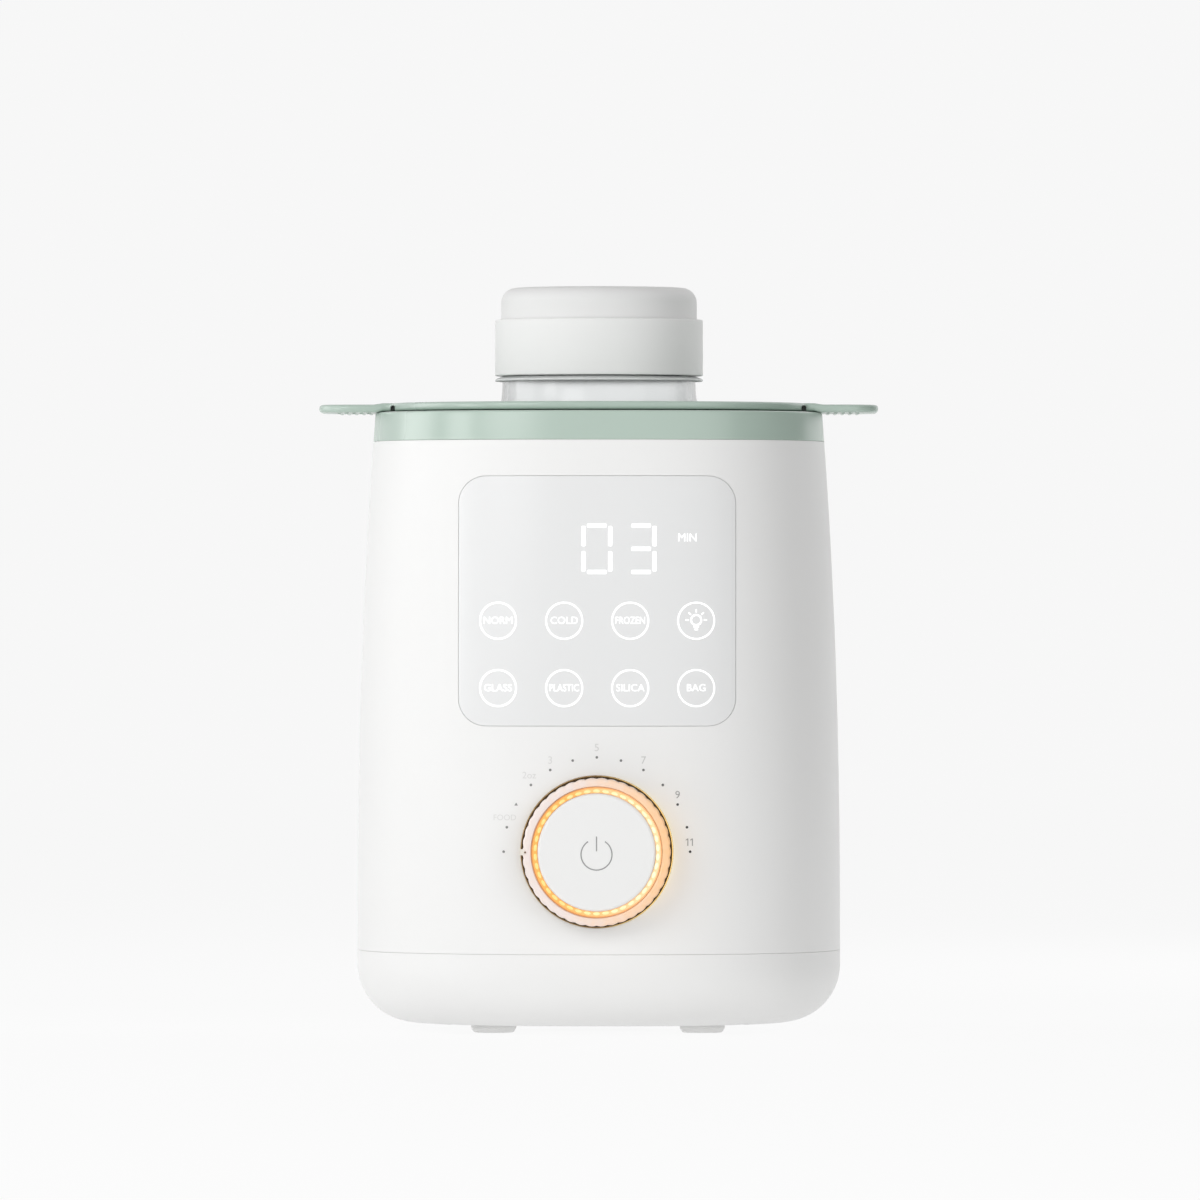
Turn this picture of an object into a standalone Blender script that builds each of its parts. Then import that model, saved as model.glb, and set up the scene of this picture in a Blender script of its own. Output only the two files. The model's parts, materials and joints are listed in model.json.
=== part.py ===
"""Bottle warmer with a lift-out basket, a seated bottle, a touch window and a lit dial.

Metres, +Z up. The front faces -Y and the feet stand on z = 0. Everything is modelled round the
body's own upright axis and parented to one empty, which shifts it so that the whole object is
centred on the origin from front to back.
"""
import math

import bmesh
import bpy
from mathutils import Matrix

# Fit and smoothness
GAP = 0.0003
CUT_MARGIN = 0.002
ROUND_STEPS = 24
FINE_STEPS = 28
PLAN_STEPS = 32
SMALL_STEPS = 8
MID_STEPS = 14
TAPER_LEVELS = 5

# Body: a squarish round plan that narrows towards the top
BODY_RADIUS = 0.0699
BODY_TAPER = 0.0046
BODY_TOP_RADIUS = BODY_RADIUS - BODY_TAPER
PLAN_POWER = 2.5
TAPER_POWER = 2.3
WALL = 0.003
BASE_BOTTOM = 0.0025
BASE_CORNER = 0.0165
SEAM_Z = 0.0234
LIP_HEIGHT = 0.003
LIP_THICKNESS = 0.0018
DECK_Z = 0.1702

# Feeding bottle, sized from its barrel
BOTTLE_RADIUS = 0.032
BOTTLE_WALL = 0.0016
BOTTLE_CORNER = 0.006
SHOULDER_LOW_Z = 0.164
SHOULDER_HIGH_Z = 0.185
SHOULDER_STEPS = 5
SHOULDER_DEPTH = 0.00375
NECK_RADIUS = BOTTLE_RADIUS - SHOULDER_DEPTH
NECK_FLANGE = 0.00215
NECK_FLANGE_RADIUS = NECK_RADIUS + NECK_FLANGE
NECK_FLANGE_LOW_Z = 0.1875
NECK_FLANGE_TOP_Z = 0.1888
FINISH_STEP = 0.00135
FINISH_RADIUS = NECK_RADIUS - FINISH_STEP
FINISH_WALL = 0.002
MOUTH_RADIUS = FINISH_RADIUS - FINISH_WALL
MOUTH_Z = 0.202
COLLAR_REACH = 0.00325
COLLAR_RADIUS = FINISH_RADIUS + COLLAR_REACH
COLLAR_TOP_Z = 0.2056
COLLAR_LIP = 0.0014
LID_REACH = 0.0015
LID_RADIUS = FINISH_RADIUS + LID_REACH
LID_FLANGE = 0.0005
LID_FLANGE_THICKNESS = 0.0013
LID_WALL = 0.0015
LID_CORNER = 0.0055
LID_TOP_Z = 0.2151
LID_CROWN = 0.0007

# Lift-out basket: its cage goes round the bottle and its rim lies on the trim ring
RIM_INSET = 0.0038
RIM_RADIUS = BODY_TOP_RADIUS - RIM_INSET
RIM_THICKNESS = 0.0023
RIM_STEPS = 9
TAB_LENGTH = 0.0193
TAB_REACH = RIM_RADIUS + TAB_LENGTH
TAB_HALF_WIDTH = 0.020
TAB_CORNER = 0.010
TAB_ROOT_FILLET = 0.004
RIB_START = 0.0049
RIB_FIRST_X = RIM_RADIUS + RIB_START
RIB_PITCH = 0.00213
RIB_COUNT = 5
RIB_WIDTH = 0.0010
RIB_DEPTH = 0.00045
WELL_GAP = 0.008
CAGE_RADIUS = BOTTLE_RADIUS + WELL_GAP
CAGE_WALL = 0.0016
CAGE_FLOOR_Z = 0.0475
CAGE_FLOOR_THICKNESS = 0.0018
CAGE_SLOTS = 12
CAGE_SLOT_WIDTH = 0.009
CAGE_SLOT_LOW_Z = 0.060
CAGE_SLOT_DROP = 0.0052
CAGE_SLOT_HIGH_Z = DECK_Z - CAGE_SLOT_DROP
DRAIN_HOLES = 8
DRAIN_RADIUS = 0.0042
DRAIN_INSET = 0.014
DRAIN_CIRCLE = CAGE_RADIUS - DRAIN_INSET

# Trim ring, tank and its seal
TRIM_HEIGHT = 0.0084
TRIM_TOP_Z = DECK_Z + TRIM_HEIGHT
TRIM_EDGE = 0.0006
WATER_GAP = 0.008
TANK_RADIUS = CAGE_RADIUS + WATER_GAP
TRIM_LEDGE = 0.0002
TRIM_BORE = TANK_RADIUS - TRIM_LEDGE
TANK_WALL = 0.0015
TANK_FLOOR_Z = 0.042
TANK_CORNER = 0.007
TANK_FLANGE_WIDTH = 0.0075
TANK_FLANGE_THICKNESS = 0.0012
SEAL_THICKNESS = 0.0012

# Touch window and display
WINDOW_WIDTH = 0.0793
WINDOW_LOW_Z = 0.0884
WINDOW_HIGH_Z = 0.1599
WINDOW_CORNER = 0.008
WINDOW_THICKNESS = 0.0018
APERTURE_WIDTH = 0.068
APERTURE_LOW_Z = 0.0935
APERTURE_HIGH_Z = 0.152
APERTURE_CORNER = 0.002
FILM_INSET = 0.0015
FILM_THICKNESS = 0.0005
MASK_SETBACK = 0.0124
MASK_FRONT_Y = MASK_SETBACK - BODY_RADIUS
MASK_DEPTH = 0.0045
DIGITS_WIDTH = 0.030
DIGITS_HEIGHT = 0.019
DIGITS_X = 0.006
DIGITS_Z = 0.1392
KEY_COLUMNS = 4
KEY_PITCH = 0.01885
KEY_RADIUS = 0.0042
KEY_ROW_Z = (0.1185, 0.0993)
BOARD_THICKNESS = 0.0016
DISPLAY_BOARD_WIDTH = 0.080
DISPLAY_BOARD_LOW_Z = 0.0895
DISPLAY_BOARD_HIGH_Z = 0.1585
DISPLAY_POST_X = 0.0373
DISPLAY_POST_INSET = 0.004
DISPLAY_SCREW_HOLE = 0.0025
DISPLAY_SCREW_BITE = 0.002

# Dial, measured outwards from the front wall along its axis
DIAL_Z = 0.0527
SEAT_RADIUS = 0.0219
SEAT_PROUD = 0.0005
SEAT_PLATE = 0.0015
SEAT_FLANGE = 0.0026
SEAT_FLANGE_RADIUS = SEAT_RADIUS + SEAT_FLANGE
SEAT_STANDOFF = 0.0048
SEAT_DEPTH = WALL + SEAT_STANDOFF
SEAT_FLANGE_THICKNESS = 0.0016
ROTOR_INSET = 0.0023
ROTOR_RADIUS = SEAT_RADIUS - ROTOR_INSET
ROTOR_WALL = 0.0009
ROTOR_BORE = ROTOR_RADIUS - ROTOR_WALL
ROTOR_FLANGE = 0.0006
ROTOR_FLANGE_RADIUS = SEAT_RADIUS + ROTOR_FLANGE
ROTOR_FLANGE_THICKNESS = 0.0016
ROTOR_NOTCHES = 12
ROTOR_NOTCH_RADIUS = 0.0010
ROTOR_NOTCH_STEPS = 6
SEAT_SHOW = 0.0005
DIAL_RING_RADIUS = SEAT_RADIUS - SEAT_SHOW
DIAL_RING_FRONT = 0.0090
DIAL_FLUTES = 42
FLUTE_DEPTH = 0.0004
FLUTE_POINTS = 3
LIGHT_RING_RADIUS = ROTOR_BORE - GAP
LIGHT_RING_WALL = 0.0013
LIGHT_RING_BORE = LIGHT_RING_RADIUS - LIGHT_RING_WALL
LIGHT_RING_FRONT = 0.0084
LIGHT_RING_TAIL = 0.0021
LIGHT_RING_BACK = -SEAT_DEPTH - LIGHT_RING_TAIL
LED_DEPTH = 0.0027
DIAL_BOARD_FRONT = LIGHT_RING_BACK - LED_DEPTH
DIAL_POST_INSET = 0.004
DIAL_POST_OFFSET = SEAT_FLANGE_RADIUS - DIAL_POST_INSET
DIAL_BOARD_MARGIN = 0.0035
DIAL_BOARD_HALF = DIAL_POST_OFFSET + DIAL_BOARD_MARGIN
DIAL_SCREW_HOLE = 0.006
DIAL_SCREW_BITE = 0.005
DIAL_SENSOR_DEPTH = 0.0012
DIAL_SENSOR_WIDTH = 0.005
CORE_CLEARANCE = 0.0004
CORE_RADIUS = LIGHT_RING_BORE - CORE_CLEARANCE
CORE_PLATE = 0.0015
CORE_LEGS = 3
CORE_LEG_RADIUS = 0.0015
CORE_LEG_INSET = 0.0047
CORE_LEG_CIRCLE = CORE_RADIUS - CORE_LEG_INSET
GUIDE_RADIUS = 0.0054
GUIDE_FRONT = 0.0010
GUIDE_INSET = 0.0018
GUIDE_BACK = -SEAT_DEPTH + GUIDE_INSET
GUIDE_CLEARANCE = 0.0004
BUTTON_RADIUS = LIGHT_RING_BORE - GAP
BUTTON_FRONT = 0.0096
BUTTON_BACK = 0.0022
BUTTON_WALL = 0.0014
BUTTON_EDGE = 0.0008
BUTTON_TRAVEL = 0.0012
STEM_RADIUS = 0.0030
STEM_TAIL = 0.0005
STEM_END = -SEAT_DEPTH - STEM_TAIL
STEM_CLIP_WIDTH = 0.0018
STEM_CLIP_THICKNESS = 0.0008
SPRING_WIRE = 0.0010
SPRING_TURNS = 4
SWITCH_WIDTH = 0.006
PLUNGER_RADIUS = 0.0017
PLUNGER_HEIGHT = 0.0008

# Heater
HEATING_PLATE_RADIUS = 0.034
HEATING_PLATE_THICKNESS = 0.004
PLATE_SKIN = 0.001
ELEMENT_INNER = 0.020
ELEMENT_OUTER = 0.027
ELEMENT_THICKNESS = 0.0033
CLAMP_LENGTH = 0.060
CLAMP_WIDTH = 0.012
CLAMP_THICKNESS = 0.0015
CLAMP_SCREW_X = 0.013
SENSOR_RADIUS = 0.0024
SENSOR_LENGTH = 0.007
FUSE_RADIUS = 0.0019
FUSE_LENGTH = 0.014
FUSE_Y = 0.012

# Power board: places are from its middle, sizes are width, depth and height
POWER_BOARD_Z = 0.016
POWER_BOARD_SIZE = (0.066, 0.044)
POWER_BOARD_Y = 0.004
POWER_POST_INSET = 0.004
POWER_SCREW_HOLE = 0.008
POWER_SCREW_BITE = 0.007
TRANSFORMER_AT, TRANSFORMER_SIZE = (-0.018, 0.008), (0.018, 0.016, 0.010)
RELAY_AT, RELAY_SIZE = (0.010, 0.014), (0.016, 0.012, 0.010)
TERMINAL_AT, TERMINAL_SIZE = (0.024, -0.004), (0.012, 0.010, 0.009)
CAPACITOR_AT, CAPACITOR_RADIUS, CAPACITOR_HEIGHT = (-0.003, -0.006), 0.004, 0.010

# Fasteners, feet, vents and gland
SCREW_RADIUS = 0.0015
SCREW_HEAD_RADIUS = 0.0029
SCREW_HEAD_HEIGHT = 0.0016
BASE_SCREW_INSET = 0.0299
BASE_SCREW_OFFSET = BODY_RADIUS - BASE_SCREW_INSET
BASE_SCREW_HEAD_Z = 0.012
BASE_SCREW_TIP_Z = 0.038
BASE_SCREW_HOLE_Z = 0.042
BOSS_RADIUS = 0.0045
BOSS_TOP_Z = 0.050
BOSS_RIB_THICKNESS = 0.002
POST_RADIUS = 0.0030
FOOT_OFFSET = 0.030
FOOT_RADIUS = 0.00565
FOOT_TOP_RADIUS = 0.0065
FOOT_EDGE_Z = 0.0013
FOOT_STEM_RADIUS = 0.0030
FOOT_STEM_TOP_Z = 0.0072
GLAND_Z = 0.036
GLAND_BORE = 0.0033
GLAND_BARREL = 0.0047
GLAND_FLANGE = 0.0070
GLAND_EDGE = 0.001
GLAND_PROUD = 0.0024
GLAND_INNER_THICKNESS = 0.0015
GLAND_INNER_CLEARANCE = 0.0009
VENT_SLOTS = 5
VENT_LENGTH = 0.030
VENT_WIDTH = 0.003
VENT_PITCH = 0.007

# Leads: the bends between their ends
LEAD_RADIUS = 0.0012
LEAD_STEPS = 4
DISPLAY_CABLE_X = 0.033
DISPLAY_CABLE_INSET = 0.004
DISPLAY_CABLE_BENDS = [(0.033, 0.0204 - BODY_RADIUS, 0.075), (0.033, 0.0219 - BODY_RADIUS, 0.045),
                       (0.031, -0.034, 0.029), (0.029, -0.014, 0.024)]
DISPLAY_CABLE_END_X = 0.029
HEATER_LEAD_RISE = 0.0015
HEATER_LEAD_BEND = (0.0215, 0.0095, 0.0295)
HEATER_LEAD_END = (0.0206, 0.0115)

# Colours: linear red, green and blue, roughness, metallic
FINISHES = {
    "white_shell": ((0.87, 0.87, 0.86), 0.42, 0.0),
    "sage_green": ((0.44, 0.56, 0.48), 0.40, 0.0),
    "clear_bottle": ((0.92, 0.94, 0.94), 0.08, 0.0),
    "window_grey": ((0.80, 0.81, 0.81), 0.25, 0.0),
    "dial_clear": ((0.93, 0.80, 0.70), 0.12, 0.0),
    "dial_glow": ((1.00, 0.62, 0.22), 0.30, 0.0),
    "dark_bronze": ((0.10, 0.06, 0.03), 0.35, 0.6),
    "black_rubber": ((0.05, 0.05, 0.05), 0.80, 0.0),
    "silicone": ((0.80, 0.80, 0.78), 0.60, 0.0),
    "aluminium": ((0.70, 0.71, 0.72), 0.35, 1.0),
    "steel": ((0.56, 0.57, 0.58), 0.30, 1.0),
    "circuit_board": ((0.03, 0.20, 0.09), 0.45, 0.0),
    "component_black": ((0.03, 0.03, 0.03), 0.45, 0.0),
    "component_blue": ((0.05, 0.16, 0.40), 0.40, 0.0),
    "moulded_white": ((0.80, 0.80, 0.80), 0.50, 0.0),
    "film_amber": ((0.60, 0.35, 0.10), 0.30, 0.0),
    "lead_red": ((0.45, 0.03, 0.03), 0.50, 0.0),
}

for leftover in list(bpy.data.objects):
    bpy.data.objects.remove(leftover, do_unlink=True)


def make_material(name):
    colour, roughness, metallic = FINISHES[name]
    material = bpy.data.materials.new(name)
    material.use_nodes = True
    shader = material.node_tree.nodes["Principled BSDF"]
    shader.inputs["Base Color"].default_value = (*colour, 1.0)
    shader.inputs["Roughness"].default_value = roughness
    shader.inputs["Metallic"].default_value = metallic
    return material


MATERIALS = {name: make_material(name) for name in FINISHES}


# Shared shapes

def wall_radius(z):
    """Half width of the body's outer wall at a height."""
    rise = max(z - SEAM_Z, 0.0) / (DECK_Z - SEAM_Z)
    return BODY_RADIUS - (BODY_RADIUS - BODY_TOP_RADIUS) * rise ** TAPER_POWER


def plan_point(turn, half):
    """Point of the squarish round plan, for a turn in radians."""
    c, s = math.cos(turn), math.sin(turn)
    reach = half * (abs(c) ** PLAN_POWER + abs(s) ** PLAN_POWER) ** (-1 / PLAN_POWER)
    return reach * c, reach * s


def plan_x(y, half):
    """Where the plan's right side is, at a distance y from its middle."""
    return half * (1 - (abs(y) / half) ** PLAN_POWER) ** (1 / PLAN_POWER)


def empty(name, location, parent=None, turn_x=0.0):
    frame = bpy.data.objects.new(name, None)
    frame.location = location
    frame.rotation_euler = (turn_x, 0, 0)
    frame.parent = parent
    bpy.context.scene.collection.objects.link(frame)
    return frame


def make_object(name, bm, finish, parent):
    bmesh.ops.remove_doubles(bm, verts=bm.verts, dist=1e-7)
    bmesh.ops.recalc_face_normals(bm, faces=bm.faces)
    mesh = bpy.data.meshes.new(name)
    bm.to_mesh(mesh)
    bm.free()
    mesh.shade_smooth()
    mesh.set_sharp_from_angle(angle=math.radians(35))
    piece = bpy.data.objects.new(name, mesh)
    piece.parent = parent
    bpy.context.scene.collection.objects.link(piece)
    if finish:
        mesh.materials.append(MATERIALS[finish])
    return piece


def cut_with(piece, tool, operation="DIFFERENCE"):
    """Cut, join or keep the overlap of a piece with a hidden tool."""
    tool.hide_render = True
    tool.display_type = "WIRE"
    boolean = piece.modifiers.new(tool.name, "BOOLEAN")
    boolean.operation = operation
    boolean.solver = "EXACT"
    boolean.object = tool


def add_rings(bm, rings):
    """Loft through plan rings, each a half width and a height, and cap both ends."""
    loops = []
    for half, z in rings:
        turns = [2 * math.pi * i / PLAN_STEPS for i in range(PLAN_STEPS)]
        loops.append([bm.verts.new((*plan_point(t, half), z)) for t in turns])
    for low, high in zip(loops, loops[1:]):
        for i in range(PLAN_STEPS):
            j = (i + 1) % PLAN_STEPS
            bm.faces.new((low[i], low[j], high[j], high[i]))
    bm.faces.new(loops[0])
    bm.faces.new(loops[-1])


def loft(name, rings, finish, parent):
    bm = bmesh.new()
    add_rings(bm, rings)
    return make_object(name, bm, finish, parent)


def add_lathe(bm, profile, centre=(0, 0, 0), steps=ROUND_STEPS):
    """Turn a profile of radius and height round an upright axis."""
    closed = profile[0][0] > 0
    verts = [bm.verts.new((centre[0] + r, centre[1], centre[2] + z)) for r, z in profile]
    pairs = list(zip(verts, verts[1:]))
    if closed:
        pairs.append((verts[-1], verts[0]))
    edges = [bm.edges.new(pair) for pair in pairs]
    bmesh.ops.spin(bm, geom=verts + edges, cent=centre, axis=(0, 0, 1), angle=2 * math.pi,
                   steps=steps, use_merge=True)


def lathe(name, profile, finish, parent, steps=ROUND_STEPS):
    bm = bmesh.new()
    add_lathe(bm, profile, steps=steps)
    return make_object(name, bm, finish, parent)


def rod_profile(radius, low, high):
    return [(0, low), (radius, low), (radius, high), (0, high)]


def ring_profile(inner, outer, low, high):
    return [(inner, low), (outer, low), (outer, high), (inner, high)]


def screw_profile(head_low, head_high, tip):
    """Screw on its axis, its head between two heights and its shank from the head to the tip."""
    shank_start = head_high if tip > head_high else head_low
    far = head_low if tip > head_high else head_high
    return [(0, far), (SCREW_HEAD_RADIUS, far), (SCREW_HEAD_RADIUS, shank_start),
            (SCREW_RADIUS, shank_start), (SCREW_RADIUS, tip), (0, tip)]


def add_box(bm, low, high):
    middle = [(a + b) / 2 for a, b in zip(low, high)]
    size = [b - a for a, b in zip(low, high)]
    place = Matrix.Translation(middle) @ Matrix.Diagonal((*size, 1))
    bmesh.ops.create_cube(bm, size=1, matrix=place)


def box(name, low, high, finish, parent):
    bm = bmesh.new()
    add_box(bm, low, high)
    return make_object(name, bm, finish, parent)


def add_prism(bm, outline, low, high):
    face = bm.faces.new([bm.verts.new((x, y, low)) for x, y in outline])
    pushed = bmesh.ops.extrude_face_region(bm, geom=[face])["geom"]
    verts = [item for item in pushed if isinstance(item, bmesh.types.BMVert)]
    bmesh.ops.translate(bm, verts=verts, vec=(0, 0, high - low))


def arc(centre, radius, start, end, steps):
    """Points along an arc, with its angles in degrees."""
    angles = [math.radians(start + (end - start) * i / steps) for i in range(steps + 1)]
    return [(centre[0] + radius * math.cos(a), centre[1] + radius * math.sin(a)) for a in angles]


def rounded_rectangle(width, low, high, corner, steps=6):
    x = width / 2 - corner
    points = []
    for centre, start in (((x, low + corner), -90), ((x, high - corner), 0),
                          ((-x, high - corner), 90), ((-x, low + corner), 180)):
        points += arc(centre, corner, start, start + 90, steps)
    return points


def front_prism(name, outline, back_y, parent):
    """Prism on an outline of x and z, from in front of the body back to a depth."""
    bm = bmesh.new()
    add_prism(bm, outline, -back_y, 2 * BODY_RADIUS)
    bmesh.ops.transform(bm, matrix=Matrix.Rotation(math.pi / 2, 4, "X"), verts=bm.verts)
    return make_object(name, bm, None, parent)


# Frames: the body's axis, the dial's axis and the gland's axis

FACE_Y = -wall_radius(DIAL_Z)
FRONT_REACH = BUTTON_FRONT - FACE_Y
BACK_REACH = wall_radius(GLAND_Z) + GLAND_PROUD
body_axis = empty("body_axis", (0, (FRONT_REACH - BACK_REACH) / 2, 0))
dial_axis = empty("dial_axis", (0, FACE_Y, DIAL_Z), body_axis, math.pi / 2)
gland_axis = empty("gland_axis", (0, wall_radius(GLAND_Z), GLAND_Z), body_axis, -math.pi / 2)

CORNERS = [(1, -1), (-1, -1), (1, 1), (-1, 1)]
POWER_POSTS = [(x * (POWER_BOARD_SIZE[0] / 2 - POWER_POST_INSET),
                POWER_BOARD_Y + y * (POWER_BOARD_SIZE[1] / 2 - POWER_POST_INSET)) for x, y in CORNERS]
POWER_SCREWS = POWER_POSTS[1:3]
DISPLAY_BOARD_FRONT_Y = MASK_FRONT_Y + MASK_DEPTH + GAP
DISPLAY_POST_Z = (DISPLAY_BOARD_LOW_Z + DISPLAY_POST_INSET, DISPLAY_BOARD_HIGH_Z - DISPLAY_POST_INSET)


# Base housing, its feet and its screws

def base_housing():
    corner_middle = BODY_RADIUS - BASE_CORNER
    inner_corner = BASE_CORNER - WALL
    centre = (corner_middle, BASE_BOTTOM + BASE_CORNER)
    lip_outer = BODY_RADIUS - WALL - GAP
    lip_inner = lip_outer - LIP_THICKNESS
    seam = SEAM_Z - GAP
    rings = arc(centre, BASE_CORNER, -90, 0, 5)
    rings += [(BODY_RADIUS, seam), (lip_outer, seam), (lip_outer, SEAM_Z + LIP_HEIGHT)]
    rings += [(lip_inner, SEAM_Z + LIP_HEIGHT), (lip_inner, centre[1] + WALL)]
    rings += arc(centre, inner_corner, 0, -90, 3)
    base = loft("base_housing", rings, "white_shell", body_axis)

    floor = BASE_BOTTOM + WALL / 2
    bm = bmesh.new()
    for x, y in CORNERS:
        at = (x * BASE_SCREW_OFFSET, y * BASE_SCREW_OFFSET, 0)
        add_lathe(bm, rod_profile(BOSS_RADIUS, floor, seam), at, SMALL_STEPS)
    for x, y in POWER_POSTS:
        add_lathe(bm, rod_profile(POST_RADIUS, floor, POWER_BOARD_Z - GAP), (x, y, 0), SMALL_STEPS)
    cut_with(base, make_object("base_posts_join", bm, None, body_axis), "UNION")

    below = BASE_BOTTOM - CUT_MARGIN
    shank = SCREW_RADIUS + GAP
    bm = bmesh.new()
    for x, y in CORNERS:
        screw_at = (x * BASE_SCREW_OFFSET, y * BASE_SCREW_OFFSET, 0)
        recess = SCREW_HEAD_RADIUS + 2 * GAP
        head_seat = BASE_SCREW_HEAD_Z + SCREW_HEAD_HEIGHT + GAP
        add_lathe(bm, [(0, below), (recess, below), (recess, head_seat), (shank, head_seat),
                       (shank, seam + CUT_MARGIN), (0, seam + CUT_MARGIN)], screw_at, SMALL_STEPS)
        foot_at = (x * FOOT_OFFSET, y * FOOT_OFFSET, 0)
        add_lathe(bm, rod_profile(FOOT_STEM_RADIUS + GAP, below, floor + WALL), foot_at, SMALL_STEPS)
    for x, y in POWER_SCREWS:
        add_lathe(bm, rod_profile(shank, POWER_BOARD_Z - POWER_SCREW_HOLE, POWER_BOARD_Z + CUT_MARGIN),
                  (x, y, 0), SMALL_STEPS)
    for i in range(VENT_SLOTS):
        y = (i - (VENT_SLOTS - 1) / 2) * VENT_PITCH
        add_box(bm, (-VENT_LENGTH / 2, y - VENT_WIDTH / 2, below),
                (VENT_LENGTH / 2, y + VENT_WIDTH / 2, floor + WALL))
    cut_with(base, make_object("base_holes_cut", bm, None, body_axis))


def feet_and_base_screws():
    top = BASE_BOTTOM - GAP
    foot = [(0, 0), (FOOT_RADIUS, 0), (FOOT_TOP_RADIUS, FOOT_EDGE_Z), (FOOT_TOP_RADIUS, top),
            (FOOT_STEM_RADIUS, top), (FOOT_STEM_RADIUS, FOOT_STEM_TOP_Z), (0, FOOT_STEM_TOP_Z)]
    screw = screw_profile(BASE_SCREW_HEAD_Z, BASE_SCREW_HEAD_Z + SCREW_HEAD_HEIGHT, BASE_SCREW_TIP_Z)
    for number, (x, y) in enumerate(CORNERS, 1):
        foot_piece = lathe(f"foot_{number}", foot, "silicone", body_axis, MID_STEPS)
        foot_piece.location = (x * FOOT_OFFSET, y * FOOT_OFFSET, 0)
        screw_piece = lathe(f"base_screw_{number}", screw, "steel", body_axis, SMALL_STEPS)
        screw_piece.location = (x * BASE_SCREW_OFFSET, y * BASE_SCREW_OFFSET, 0)


# Upper housing

def taper_rings(inset, low, high):
    """Rings that follow the outer wall at a depth below its surface."""
    heights = [low + (high - low) * i / TAPER_LEVELS for i in range(TAPER_LEVELS + 1)]
    return [(wall_radius(z) - inset, z) for z in heights]


def housing_tool(name, inset):
    return loft(name, taper_rings(inset, SEAM_Z + LIP_HEIGHT, DECK_Z - WALL), None, body_axis)


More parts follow.
